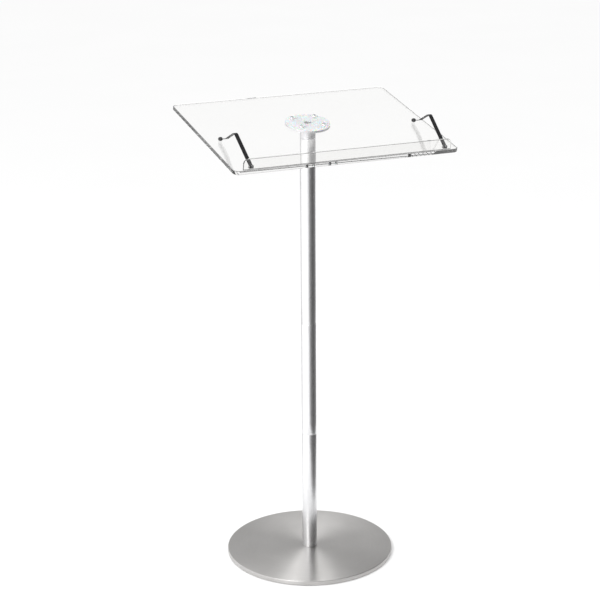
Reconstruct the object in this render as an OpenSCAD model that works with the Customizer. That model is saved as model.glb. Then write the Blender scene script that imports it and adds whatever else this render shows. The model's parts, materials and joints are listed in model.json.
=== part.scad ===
// Free-standing lectern: a round steel base, a pole of three screwed sections
// and a clear sloping tray with a front lip and two sprung page clips.
// Origin: centre of the base where it meets the floor. +Z up, +Y away from the reader.

/* [Base] */
// Diameter of the base disc
base_d = 450; // [330:5:560]
// Thickness of the base disc
base_t = 12; // [8:1:20]
// Radius of the base disc's top and bottom rims
base_rim_r = 1.5; // [0.5:0.25:2.5]
// Thickness of the floor pad under the disc
pad_t = 1; // [0.8:0.2:3]
// How far the floor pad stands back from the disc's rim
pad_inset = 8; // [4:1:20]

/* [Pole] */
// Outer diameter of the pole
pole_d = 40; // [32:1:50]
// Wall of the pole tubes
pole_wall = 1.5; // [1:0.25:3]
// Length of the lower tube
lower_len = 330; // [200:5:450]
// Length of the middle tube
middle_len = 314; // [200:2:450]
// Length of the upper tube
upper_len = 493; // [300:1:650]
// Chamfer on each tube's ends, two of which make the groove at a joint
joint_chamfer = 1; // [0.5:0.1:1.2]
// Length of the threaded inserts in the tube ends
insert_len = 22; // [14:1:40]
// Diameter of the pole's studs and of its top bolt
stud_d = 10; // [6:1:14]
// How deep a stud screws into each insert
stud_depth = 18; // [10:1:36]

/* [Head] */
// Height of the head's neck on the pole's axis
neck_h = 33; // [24:1:60]
// Diameter of the head's flange
flange_d = 116; // [90:2:150]
// Thickness of the head's flange
flange_t = 6; // [4:0.5:10]
// Thickness of the solid web under the top bolt's washer
web_t = 14; // [8:1:20]
// Thickness of the spring washer under the top bolt
head_washer_t = 2; // [1:0.5:3]
// Thickness of the gasket between flange and tray
gasket_t = 1; // [0.5:0.25:3]
// Diameter of the circle that the tray screws lie on
screw_circle_d = 88; // [70:2:110]
// Number of tray screws
screw_count = 4; // [3:1:6]
// Diameter of the tray screws
screw_d = 6; // [4:1:8]
// Thickness of the nylon washers under the tray screws
screw_washer_t = 1; // [0.6:0.2:2]

/* [Tray] */
// Width of the tray
tray_w = 600; // [420:10:720]
// Depth of the tray along its slope
tray_d = 457; // [360:1:560]
// Thickness of the tray
tray_t = 10; // [6:1:15]
// Radius of the tray's four corners
tray_corner_r = 15; // [10:1:50]
// Slope of the tray
tray_tilt = 10; // [0:1:25]
// Distance along the slope from the tray's front edge to the pole's axis
pole_offset = 265; // [180:1:300]

/* [Lip] */
// How far the lip stands back from the tray's front edge
lip_inset = 2; // [1:0.5:6]
// Thickness of the lip
lip_t = 5; // [3:0.5:8]
// Height of the lip above the tray
lip_h = 28; // [15:1:32]
// Distance from each end of the lip to the tray's side
lip_end_gap = 23.5; // [15:0.5:60]
// Radius of the lip's two top corners
lip_corner_r = 13; // [4:1:14]

/* [Page clips] */
// Distance from the tray's side to each clip's foot, with the pair in the middle
clip_side_gap = 41; // [40:1:120]
// How far the pair of clips stands to the right of the tray's middle
clip_shift = 6; // [-6:0.5:6]
// Gap between the lip and the clip's saddle
clip_lip_gap = 4; // [2:0.5:20]
// Angle by which each clip turns outwards
clip_splay = 2; // [0:0.5:5]
// Angle by which both clips turn to the left
clip_turn = 2; // [-3:0.5:3]
// Width of the clip strip
strip_w = 10.3; // [8:0.1:16]
// Thickness of the clip strip
strip_t = 1.2; // [0.8:0.1:1.6]
// Reach of the strip's crest behind the hinge pin
crest_run = 93.5; // [60:0.5:110]
// Height of the strip's crest above the tray
crest_h = 54.3; // [36:0.1:65]
// Reach from the crest to the strip's lower bend
knee_run = 48; // [40:0.5:65]
// Height of the strip's lower bend above the tray
knee_h = 19.7; // [16:0.1:26]
// Angle at which the strip's neck runs down from the lower bend to the tip
neck_angle = 21.5; // [16:0.5:30]
// Radius of the strip's bend at the crest
crest_r = 12; // [3:0.5:14]
// Radius of the strip's lower bend
knee_r = 12; // [3:0.5:14]
// Width of the tongue that holds the tip on the strip
tongue_w = 5; // [3:0.5:6]
// Diameter of the clip's soft tip
tip_d = 10; // [8:0.5:14]
// Length of the clip's soft tip
tip_len = 14; // [12:0.5:20]
// Diameter of the clip's hinge pin
pin_d = 2.5; // [2:0.1:3]
// Diameter of the torsion spring's wire
wire_d = 0.6; // [0.4:0.05:0.7]
// Full turns of the torsion spring
spring_turns = 3; // [2:1:4]

/* [Hidden] */

// Fine enough for a smooth preview; every round stays a true circle.
$fn = 96;

// Cuts run past the faces that they open by this much.
past = 1;

// Heights on the pole's axis, from the floor up.
disc_top = pad_t + base_t;
lower_top = disc_top + lower_len;
middle_top = lower_top + middle_len;
upper_top = middle_top + upper_len;
flange_under = upper_top + neck_h;
flange_top = flange_under + flange_t / cos(tray_tilt);
desk_h = flange_top + (gasket_t + tray_t) / cos(tray_tilt);

// Radii of the pole and its hardware.
pole_r = pole_d / 2;
bore_r = pole_r - pole_wall;
stud_r = stud_d / 2;
stud_clearance = 0.4;
stud_end_chamfer = 0.8;
stud_head_r = stud_r * 2;
head_bolt_head_r = stud_r * 1.6;
head_bolt_head_h = stud_d;
head_bolt_recess_r = head_bolt_head_r + 1;
hex_socket_r = stud_r * 0.8;
hex_socket_depth = stud_r;

// Tray screws: button heads over nylon washers.
screw_r = screw_d / 2;
screw_clearance = 0.3;
screw_head_r = screw_d * 0.88;
screw_head_h = screw_d * 0.55;
screw_washer_r = screw_head_r + 1.2;
screw_reach = tray_t + gasket_t + flange_t;
flange_centre = pole_offset - (tray_t + gasket_t) * tan(tray_tilt);

// Clip hinge: knuckle and spring share the pin between the saddle's two ears.
clip_x = tray_w / 2 - clip_side_gap;
pin_r = pin_d / 2;
pin_play = 0.05;
side_play = 0.25;
ear_t = 1;
ear_r = pin_r + 1.75;
floor_t = 0.8;
floor_back = 7.5;
pin_h = ear_r + 1;
clip_y = lip_inset + lip_t + clip_lip_gap + ear_r;
knuckle_r = pin_r + pin_play + strip_t;
ear_inside = strip_w / 2 - ear_t;
knuckle_left = -ear_inside + side_play;
spring_span = (spring_turns + 2) * wire_d;
knuckle_right = ear_inside - side_play * 2 - spring_span;
strip_start = ear_r + side_play;

// Clip side view, in the plane (reach behind the pin, height above the tray).
tip_r = tip_d / 2;
tip_gap = 0.3;
tip_straight = tip_len / 2 - tip_r;
tip_h = tip_r + tip_gap + tip_straight * sin(neck_angle);
neck_dir = [cos(neck_angle), -sin(neck_angle)];
shoulder_gap = 0.3;
tongue_reach = tip_len / 4;
tongue_len = tip_len / 2 + shoulder_gap + tongue_reach;
pin_at = [0, pin_h];
crest_at = [crest_run, crest_h];
knee_at = [crest_run + knee_run, knee_h];
tip_at = knee_at + neck_dir * (knee_h - tip_h) / sin(neck_angle);
tongue_end_at = tip_at + neck_dir * tongue_reach;
rise = atan2(crest_h - pin_h, crest_run);
bend_steps = 12;

// Torsion spring: a wire of eight sides swept along its legs and coil.
coil_play = 0.2;
coil_r = pin_r + coil_play + wire_d / 2;
turn_steps = 16;
wire_sides = 8;
wire_sweep_r = pin_h - floor_t - side_play - wire_d;
front_leg = sqrt(pow(wire_sweep_r, 2) - pow(coil_r, 2));
strip_leg = 9;
coil_pitch = wire_d * 1.05;

function unit(v) = v / norm(v);
function left_of(v) = [-v[1], v[0]];
function turned(v, a) = [v[0] * cos(a) - v[1] * sin(a), v[0] * sin(a) + v[1] * cos(a)];

// Points of a rounded corner at b between a and c, each with the path's left normal.
function bend(a, b, c, r) =
    let (
        u = unit(b - a),
        w = unit(c - b),
        turn = atan2(u[0] * w[1] - u[1] * w[0], u * w),
        side = sign(turn),
        centre = b - u * r * tan(abs(turn) / 2) + left_of(u) * side * r
    )
    [for (i = [0:bend_steps]) let (m = turned(left_of(u), turn * i / bend_steps)) [centre - m * side * r, m]];

// The strip's middle line from the knuckle's wall to the end of the tongue in the tip.
strip_line = concat(
    [[pin_at + unit(crest_at - pin_at) * (knuckle_r - strip_t / 2), left_of(unit(crest_at - pin_at))]],
    bend(pin_at, crest_at, knee_at, crest_r),
    bend(crest_at, knee_at, tip_at, knee_r),
    [[tongue_end_at, left_of(neck_dir)]]
);
strip_outline = concat(
    [for (p = strip_line) p[0] + p[1] * strip_t / 2],
    [for (i = [len(strip_line) - 1:-1:0]) strip_line[i][0] - strip_line[i][1] * strip_t / 2]
);

// Carries its children from the tray's own frame, which starts at the middle of the
// top face's front edge and runs back along the slope.
module on_tray() {
    translate([0, -pole_offset * cos(tray_tilt), desk_h - pole_offset * sin(tray_tilt)])
        rotate([tray_tilt, 0, 0])
            children();
}

// Carries its children from a clip's own frame: side is -1 on the left and 1 on the right.
module at_clip(side) {
    on_tray()
        translate([side * clip_x + clip_shift, clip_y, 0])
            rotate([0, 0, clip_turn - side * clip_splay])
                children();
}

// Draws its flat child in the clip's side view and gives it a width from x0.
module side_view(x0, w) {
    translate([x0, 0, 0])
        rotate([90, 0, 90])
            linear_extrude(w)
                children();
}

// A plate with rounded corners, its front edge's middle at the origin.
module rounded_plate(w, d, t, r) {
    translate([-w / 2, r, 0])
        cube([w, d - 2 * r, t]);
    translate([-w / 2 + r, 0, 0])
        cube([w - 2 * r, d, t]);
    for (x = [-w / 2 + r, w / 2 - r])
        for (y = [r, d - r])
            translate([x, y, 0])
                cylinder(h = t, r = r);
}

module base_pad() {
    color("dimgray")
        cylinder(h = pad_t, r = base_d / 2 - pad_inset);
}

// Disc with rounded rims and a countersunk hole for the stud.
module base_disc() {
    color("silver")
        translate([0, 0, pad_t])
            rotate_extrude()
                difference() {
                    union() {
                        translate([stud_r + stud_clearance, 0])
                            square([base_d / 2 - base_rim_r - stud_r - stud_clearance, base_t]);
                        translate([stud_r + stud_clearance, base_rim_r])
                            square([base_d / 2 - stud_r - stud_clearance, base_t - 2 * base_rim_r]);
                        for (z = [base_rim_r, base_t - base_rim_r])
                            translate([base_d / 2 - base_rim_r, z])
                                circle(r = base_rim_r);
                    }
                    polygon([
                        [0, -past],
                        [stud_head_r + past, -past],
                        [stud_head_r + past, 0],
                        [stud_head_r, 0],
                        [stud_r + stud_clearance, stud_head_r - stud_r - stud_clearance],
                        [0, stud_head_r - stud_r - stud_clearance]
                    ]);
                }
}

// Countersunk stud that is set in the disc and holds the pole down.
module base_stud() {
    color("gray")
        translate([0, 0, pad_t])
            rotate_extrude()
                polygon([
                    [0, 0],
                    [stud_head_r, 0],
                    [stud_r, stud_head_r - stud_r],
                    [stud_r, base_t + stud_depth - stud_end_chamfer],
                    [stud_r - stud_end_chamfer, base_t + stud_depth],
                    [0, base_t + stud_depth]
                ]);
}

// A tube of the pole that starts at height z.
module pole_tube(z, len) {
    color("gainsboro")
        translate([0, 0, z])
            rotate_extrude()
                polygon([
                    [bore_r, 0],
                    [pole_r - joint_chamfer, 0],
                    [pole_r, joint_chamfer],
                    [pole_r, len - joint_chamfer],
                    [pole_r - joint_chamfer, len],
                    [bore_r, len]
                ]);
}

module lower_tube() {
    pole_tube(disc_top, lower_len);
}

module middle_tube() {
    pole_tube(lower_top, middle_len);
}

module upper_tube() {
    pole_tube(middle_top, upper_len);
}

// Threaded plug pressed into a tube's end, from height z up.
module tube_insert(z) {
    color("darkgray")
        translate([0, 0, z])
            rotate_extrude()
                translate([stud_r, 0])
                    square([bore_r - stud_r, insert_len]);
}

module foot_insert() {
    tube_insert(disc_top);
}

module lower_top_insert() {
    tube_insert(lower_top - insert_len);
}

module middle_bottom_insert() {
    tube_insert(lower_top);
}

module middle_top_insert() {
    tube_insert(middle_top - insert_len);
}

module upper_bottom_insert() {
    tube_insert(middle_top);
}

module upper_top_insert() {
    tube_insert(upper_top - insert_len);
}

// Double-ended stud that joins two tubes at height z.
module joint_stud(z) {
    color("gray")
        translate([0, 0, z])
            rotate_extrude()
                polygon([
                    [0, -stud_depth],
                    [stud_r - stud_end_chamfer, -stud_depth],
                    [stud_r, -stud_depth + stud_end_chamfer],
                    [stud_r, stud_depth - stud_end_chamfer],
                    [stud_r - stud_end_chamfer, stud_depth],
                    [0, stud_depth]
                ]);
}

module joint_stud_lower() {
    joint_stud(lower_top);
}

module joint_stud_upper() {
    joint_stud(middle_top);
}

// Puts its children at each tray screw, in the tray's frame.
module at_screws() {
    translate([0, flange_centre, 0])
        for (i = [0:screw_count - 1])
            rotate([0, 0, 360 * (i + 0.5) / screw_count])
                translate([screw_circle_d / 2, 0, 0])
                    children();
}

// Neck and sloping flange in one casting, bored for the top bolt.
module tray_head() {
    color("gainsboro")
        difference() {
            union() {
                intersection() {
                    translate([0, 0, upper_top])
                        rotate_extrude()
                            polygon([
                                [0, 0],
                                [pole_r - joint_chamfer, 0],
                                [pole_r, joint_chamfer],
                                [pole_r, neck_h * 2 + flange_d],
                                [0, neck_h * 2 + flange_d]
                            ]);
                    on_tray()
                        translate([-flange_d, 0, -tray_t - gasket_t - flange_t / 2 - neck_h * 4])
                            cube([flange_d * 2, pole_offset * 2, neck_h * 4]);
                }
                on_tray()
                    translate([0, flange_centre, -tray_t - gasket_t - flange_t])
                        cylinder(h = flange_t, d = flange_d);
            }
            translate([0, 0, upper_top - past])
                cylinder(h = neck_h + flange_d, r = stud_r + stud_clearance);
            translate([0, 0, upper_top + web_t])
                cylinder(h = neck_h + flange_d, r = head_bolt_recess_r);
            on_tray()
                translate([0, 0, -tray_t - gasket_t - flange_t - past])
                    at_screws()
                        cylinder(h = flange_t + 2 * past, r = screw_r);
        }
}

module head_washer() {
    color("gray")
        translate([0, 0, upper_top + web_t])
            difference() {
                cylinder(h = head_washer_t, r = head_bolt_head_r);
                translate([0, 0, -past])
                    cylinder(h = head_washer_t + 2 * past, r = stud_r + stud_clearance);
            }
}

// Socket-head bolt that ties the head to the upper tube.
module head_bolt() {
    color("gray")
        translate([0, 0, upper_top + web_t + head_washer_t])
            difference() {
                union() {
                    cylinder(h = head_bolt_head_h, r = head_bolt_head_r);
                    translate([0, 0, -head_washer_t - web_t - stud_depth])
                        cylinder(h = head_washer_t + web_t + stud_depth + past, r = stud_r);
                }
                translate([0, 0, head_bolt_head_h - hex_socket_depth])
                    cylinder(h = hex_socket_depth + past, r = hex_socket_r, $fn = 6);
            }
}

module tray_gasket() {
    color("white", 0.6)
        on_tray()
            difference() {
                translate([0, flange_centre, -tray_t - gasket_t])
                    cylinder(h = gasket_t, d = flange_d);
                translate([0, flange_centre, -tray_t - gasket_t - past])
                    cylinder(h = gasket_t + 2 * past, r = head_bolt_recess_r + past);
                translate([0, 0, -tray_t - gasket_t - past])
                    at_screws()
                        cylinder(h = gasket_t + 2 * past, r = screw_r + screw_clearance);
            }
}

module tray_panel() {
    color("aliceblue", 0.35)
        on_tray()
            translate([0, 0, -tray_t])
                difference() {
                    rounded_plate(tray_w, tray_d, tray_t, tray_corner_r);
                    translate([0, 0, -past])
                        at_screws()
                            cylinder(h = tray_t + 2 * past, r = screw_r + screw_clearance);
                }
}

module tray_washers() {
    color("white")
        on_tray()
            at_screws()
                difference() {
                    cylinder(h = screw_washer_t, r = screw_washer_r);
                    translate([0, 0, -past])
                        cylinder(h = screw_washer_t + 2 * past, r = screw_r + screw_clearance);
                }
}

// Button-head screws from above, through the tray into the flange.
module tray_screws() {
    dome_r = (pow(screw_head_r, 2) + pow(screw_head_h, 2)) / (2 * screw_head_h);
    color("silver")
        on_tray()
            at_screws()
                difference() {
                    union() {
                        translate([0, 0, -screw_reach])
                            cylinder(h = screw_reach + screw_washer_t + past, r = screw_r);
                        translate([0, 0, screw_washer_t])
                            intersection() {
                                cylinder(h = screw_head_h + past, r = screw_head_r);
                                translate([0, 0, screw_head_h - dome_r])
                                    sphere(r = dome_r);
                            }
                    }
                    translate([0, 0, screw_washer_t + screw_head_h * 0.35])
                        cylinder(h = screw_head_h + past, r = screw_r * 0.75, $fn = 6);
                }
}

// Clear strip bonded on edge near the tray's front.
module front_lip() {
    lip_w = tray_w - 2 * lip_end_gap;
    color("aliceblue", 0.35)
        on_tray()
            translate([0, lip_inset + lip_t, 0])
                rotate([90, 0, 0])
                    linear_extrude(lip_t)
                        union() {
                            translate([-lip_w / 2, 0])
                                square([lip_w, lip_h - lip_corner_r]);
                            translate([-lip_w / 2 + lip_corner_r, 0])
                                square([lip_w - 2 * lip_corner_r, lip_h]);
                            for (x = [-lip_w / 2 + lip_corner_r, lip_w / 2 - lip_corner_r])
                                translate([x, lip_h - lip_corner_r])
                                    circle(r = lip_corner_r);
                        }
}

// Small steel saddle bonded to the tray, with an ear at each end of the pin.
module clip_saddle(side) {
    color("black")
        at_clip(side) {
            translate([-strip_w / 2, -ear_r, 0])
                cube([strip_w, ear_r + floor_back, floor_t]);
            for (x = [-strip_w / 2, ear_inside])
                difference() {
                    union() {
                        translate([x, -ear_r, 0])
                            cube([ear_t, 2 * ear_r, pin_h]);
                        translate([x, 0, pin_h])
                            rotate([0, 90, 0])
                                cylinder(h = ear_t, r = ear_r);
                    }
                    translate([x - past, 0, pin_h])
                        rotate([0, 90, 0])
                            cylinder(h = ear_t + 2 * past, r = pin_r);
                }
        }
}

module clip_pin(side) {
    color("silver")
        at_clip(side)
            translate([-strip_w / 2, 0, pin_h])
                rotate([0, 90, 0])
                    cylinder(h = strip_w, r = pin_r);
}

// One point of the spring's wire: its angle about the pin, its place along the pin
// and how far it lies along a straight leg.
function wire_point(angle, x, leg) =
    [x, coil_r * cos(angle) + leg * sin(angle), coil_r * sin(angle) - leg * cos(angle)];

// The coil unwinds from its short front leg to the leg that lies along the strip.
coil_start = 150;
coil_stop = 90 + rise - 360 * spring_turns;
coil_travel = (coil_start - coil_stop) / 360 * coil_pitch;
coil_x = ear_inside - side_play - wire_d / 2 - coil_travel;
coil_steps = ceil((coil_start - coil_stop) / 360 * turn_steps);

// Each ring of the wire: its centre, and the angle that its radial side points at.
spring_rings = concat(
    [[wire_point(coil_start, coil_x, -front_leg), coil_start]],
    [for (i = [0:coil_steps])
        let (f = i / coil_steps, a = coil_start + (coil_stop - coil_start) * f)
        [wire_point(a, coil_x + coil_travel * f, 0), a]],
    [[wire_point(coil_stop, coil_x + coil_travel, strip_leg), coil_stop]]
);

// Torsion spring round the pin, beside the knuckle.
module clip_spring(side) {
    rings = spring_rings;
    last = len(rings) - 1;
    points = [for (ring = rings) for (k = [0:wire_sides - 1])
        let (b = 360 * k / wire_sides, r = wire_d / 2)
        ring[0] + r * [sin(b), cos(b) * cos(ring[1]), cos(b) * sin(ring[1])]];
    skin = [for (i = [0:last - 1]) for (k = [0:wire_sides - 1])
        let (n = (k + 1) % wire_sides, a = i * wire_sides)
        [a + k, a + wire_sides + k, a + wire_sides + n, a + n]];
    caps = [
        [for (k = [0:wire_sides - 1]) k],
        [for (k = [wire_sides - 1:-1:0]) last * wire_sides + k]
    ];
    color("gray")
        at_clip(side)
            translate([0, 0, pin_h])
                polyhedron(points, concat(skin, caps), convexity = 6);
}

// Carries its children to the tip's centre, with +Y along the neck.
module at_tip() {
    translate([0, tip_at[0], tip_at[1]])
        rotate([-neck_angle, 0, 0])
            children();
}

// A round bar on the pin's axis from x0 to x1.
module pin_bar(x0, x1, r) {
    translate([x0, 0, pin_h])
        rotate([0, 90, 0])
            cylinder(h = x1 - x0, r = r);
}

// Bent spring-steel strip: a rolled knuckle on the pin at one end, cut back to clear the
// ears and the spring, and a narrow tongue for the tip at the other.
module clip_strip(side) {
    color("black")
        at_clip(side)
            difference() {
                union() {
                    side_view(-strip_w / 2, strip_w)
                        polygon(strip_outline);
                    pin_bar(knuckle_left, knuckle_right, knuckle_r);
                }
                pin_bar(knuckle_left - past, knuckle_right + past, pin_r + pin_play);
                pin_bar(-strip_w / 2 - past, knuckle_left, strip_start);
                pin_bar(knuckle_right, strip_w / 2 + past, strip_start);
                for (x = [-strip_w / 2 - past, tongue_w / 2])
                    at_tip()
                        translate([x, tongue_reach - tongue_len, -tip_d])
                            cube([(strip_w - tongue_w) / 2 + past, tongue_len + past, 2 * tip_d]);
            }
}

// Soft round-ended tip pushed over the end of the strip.
module clip_tip(side) {
    color("black")
        at_clip(side)
            difference() {
                at_tip()
                    rotate([90, 0, 0])
                        union() {
                            translate([0, 0, -tip_straight])
                                cylinder(h = 2 * tip_straight, r = tip_r);
                            for (z = [-tip_straight, tip_straight])
                                translate([0, 0, z])
                                    sphere(r = tip_r);
                        }
                at_tip()
                    translate([-tongue_w / 2, tongue_reach - tongue_len, -strip_t / 2])
                        cube([tongue_w, tongue_len, strip_t]);
            }
}

module clip_saddle_left() {
    clip_saddle(-1);
}

module clip_pin_left() {
    clip_pin(-1);
}

module clip_spring_left() {
    clip_spring(-1);
}

module clip_strip_left() {
    clip_strip(-1);
}

module clip_tip_left() {
    clip_tip(-1);
}

module clip_saddle_right() {
    clip_saddle(1);
}

module clip_pin_right() {
    clip_pin(1);
}

module clip_spring_right() {
    clip_spring(1);
}

module clip_strip_right() {
    clip_strip(1);
}

module clip_tip_right() {
    clip_tip(1);
}

base_pad();
base_disc();
base_stud();
lower_tube();
foot_insert();
lower_top_insert();
joint_stud_lower();
middle_tube();
middle_bottom_insert();
middle_top_insert();
joint_stud_upper();
upper_tube();
upper_bottom_insert();
upper_top_insert();
tray_head();
head_washer();
head_bolt();
tray_gasket();
tray_panel();
tray_washers();
tray_screws();
front_lip();
clip_saddle_left();
clip_pin_left();
clip_spring_left();
clip_strip_left();
clip_tip_left();
clip_saddle_right();
clip_pin_right();
clip_spring_right();
clip_strip_right();
clip_tip_right();
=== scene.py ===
"""Looks for a free-standing lectern: a round steel base, a pole of three screwed
tubes, and a clear sloping tray with a front lip and two sprung page clips.

Every length is in metres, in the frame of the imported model: +Z up, +Y away from the
reader, and the origin at the centre of the base where it meets the floor.
"""
import json
import logging
import math
from dataclasses import dataclass
from enum import Enum
from typing import Callable, Optional, Sequence, Union

import bmesh
import bpy
from mathutils import Matrix, Vector
from mathutils.geometry import tessellate_polygon


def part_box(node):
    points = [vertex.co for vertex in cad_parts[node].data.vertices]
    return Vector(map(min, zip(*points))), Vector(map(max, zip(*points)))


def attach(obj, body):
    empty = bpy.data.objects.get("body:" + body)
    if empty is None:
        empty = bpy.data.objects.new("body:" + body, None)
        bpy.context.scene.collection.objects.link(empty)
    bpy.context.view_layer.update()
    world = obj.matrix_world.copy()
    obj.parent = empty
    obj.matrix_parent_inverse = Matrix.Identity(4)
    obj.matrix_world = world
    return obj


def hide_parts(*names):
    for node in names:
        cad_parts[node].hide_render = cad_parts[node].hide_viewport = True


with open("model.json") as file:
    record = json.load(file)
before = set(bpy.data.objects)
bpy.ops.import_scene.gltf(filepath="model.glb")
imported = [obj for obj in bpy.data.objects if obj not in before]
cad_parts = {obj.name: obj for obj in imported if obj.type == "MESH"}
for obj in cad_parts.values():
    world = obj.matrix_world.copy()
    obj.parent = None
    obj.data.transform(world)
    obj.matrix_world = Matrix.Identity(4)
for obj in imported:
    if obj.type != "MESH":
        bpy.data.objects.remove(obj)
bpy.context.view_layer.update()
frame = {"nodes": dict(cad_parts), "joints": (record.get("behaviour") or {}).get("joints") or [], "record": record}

log = logging.getLogger("lectern")

MM = 0.001
# Air left between a clear piece and what touches it, so that no two faces lie in one plane.
CONTACT_GAP = 0.04 * MM
# The part of a noise's range that most of its values fall in.
NOISE_LOW, NOISE_HIGH = 0.25, 0.75
# Angles in degrees from which an edge is shaded sharp.
CREASE = 28.0
POLISHED_CREASE = 12.0
FOLDED_CREASE = 40.0
BENT_CREASE = 50.0
WIRE_CREASE = 60.0

Point = tuple[float, float]
Loop = list[Point]
Value = Union[bpy.types.NodeSocket, float, Sequence[float]]


class Slot(Enum):
    """The record's material slots."""

    PAD = "pad_foam"
    BASE = "base_steel"
    POLE = "pole_steel"
    HEAD = "head_aluminium"
    ZINC = "zinc_hardware"
    SCREW = "screw_steel"
    GASKET = "gasket_silicone"
    NYLON = "white_nylon"
    ACRYLIC = "clear_acrylic"
    BLACK = "clip_black"
    WIRE = "spring_wire"
    RUBBER = "tip_rubber"


class Body(Enum):
    """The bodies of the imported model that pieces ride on."""

    STAND = "stand"
    CLIP_LEFT = "clip_left"
    CLIP_RIGHT = "clip_right"


class Side(Enum):
    """A page clip's side, seen by the reader."""

    LEFT = "left"
    RIGHT = "right"

    @property
    def body(self) -> Body:
        """The body that this side's clip swings with."""
        return Body.CLIP_LEFT if self is Side.LEFT else Body.CLIP_RIGHT


class Grain(Enum):
    """The way in which a metal surface was brushed."""

    ROUND = "rings about the pole's axis"
    LENGTHWISE = "lines along the pole"


# ---------------------------------------------------------------- node wiring


class Wiring:
    """Adds nodes to an emptied tree and wires their sockets."""

    def __init__(self, tree: bpy.types.NodeTree) -> None:
        """Empties the tree that is wired.

        Args:
            tree: The shader or geometry tree.
        """
        self.tree = tree
        tree.nodes.clear()

    def add(self, kind: str, sockets: Optional[dict] = None, **settings: object) -> bpy.types.Node:
        """Adds one node.

        Args:
            kind: The node's type name.
            sockets: A value or a socket to link for each input, by name or number.
            settings: The node's own properties.

        Returns:
            The new node.
        """
        node = self.tree.nodes.new(kind)
        for key, value in settings.items():
            setattr(node, key, value)
        for key, value in (sockets or {}).items():
            if isinstance(value, bpy.types.NodeSocket):
                self.tree.links.new(value, node.inputs[key])
            else:
                node.inputs[key].default_value = value
        return node

    def sum(self, operation: str, a: Value, b: Value = 0.0, c: Value = 0.0) -> bpy.types.NodeSocket:
        """Returns the result of a Math node on up to three values."""
        return self.add("ShaderNodeMath", {0: a, 1: b, 2: c}, operation=operation).outputs[0]

    def blended(self, a: Value, b: Value, share: float) -> bpy.types.NodeSocket:
        """Returns two noises added, the first with this share of the whole."""
        return self.sum("ADD", self.sum("MULTIPLY", a, share), self.sum("MULTIPLY", b, 1.0 - share))

    def place(self) -> bpy.types.NodeSocket:
        """Returns the point on the object, in metres."""
        return self.add("ShaderNodeTexCoord").outputs["Object"]

    def stretched(self, point: Value, scale: Sequence[float]) -> bpy.types.NodeSocket:
        """Returns a point with each axis scaled."""
        return self.add("ShaderNodeMapping", {"Vector": point, "Scale": scale}).outputs[0]

    def noise(self, point: Value, scale: float, detail: float = 2.0) -> bpy.types.NodeSocket:
        """Returns a noise from 0 to 1 with features of about 1/scale."""
        sockets = {"Vector": point, "Scale": scale, "Detail": detail}
        return self.add("ShaderNodeTexNoise", sockets).outputs["Fac"]

    def spread(self, value: Value, low: float, high: float) -> bpy.types.NodeSocket:
        """Returns a noise value moved to the range from low to high."""
        span = {"From Min": NOISE_LOW, "From Max": NOISE_HIGH, "To Min": low, "To Max": high}
        return self.add("ShaderNodeMapRange", {"Value": value, **span}).outputs[0]

    def shades(self, value: Value, dark: Sequence[float], light: Sequence[float]) -> bpy.types.NodeSocket:
        """Mixes two shades by a noise value.

        Args:
            value: The noise value.
            dark: The shade at its low end.
            light: The shade at its high end.

        Returns:
            The colour.
        """
        ramp = self.add("ShaderNodeValToRGB", {"Fac": value})
        low, high = ramp.color_ramp.elements
        low.position, high.position = NOISE_LOW, NOISE_HIGH
        low.color, high.color = (*dark, 1.0), (*light, 1.0)
        return ramp.outputs["Color"]

    def bump(self, height: Value, depth: float, strength: float = 1.0) -> bpy.types.NodeSocket:
        """Returns the normal of a relief whose height runs over depth metres."""
        sockets = {"Height": height, "Distance": depth, "Strength": strength}
        return self.add("ShaderNodeBump", sockets).outputs["Normal"]


# ------------------------------------------------------------------- finishes


@dataclass(frozen=True)
class Finish:
    """A surface finish that dresses every piece of one slot."""

    slot: Slot

    def surface(self, wires: Wiring) -> bpy.types.NodeSocket:
        """Wires the finish's shader; each kind of finish has its own."""
        raise NotImplementedError

    def material(self) -> bpy.types.Material:
        """Makes the finish's material.

        Returns:
            The material, named after the slot.
        """
        made = bpy.data.materials.new(f"{self.slot.value}_finish")
        made.use_nodes = True
        wires = Wiring(made.node_tree)
        wires.add("ShaderNodeOutputMaterial", {"Surface": self.surface(wires)})
        return made


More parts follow.
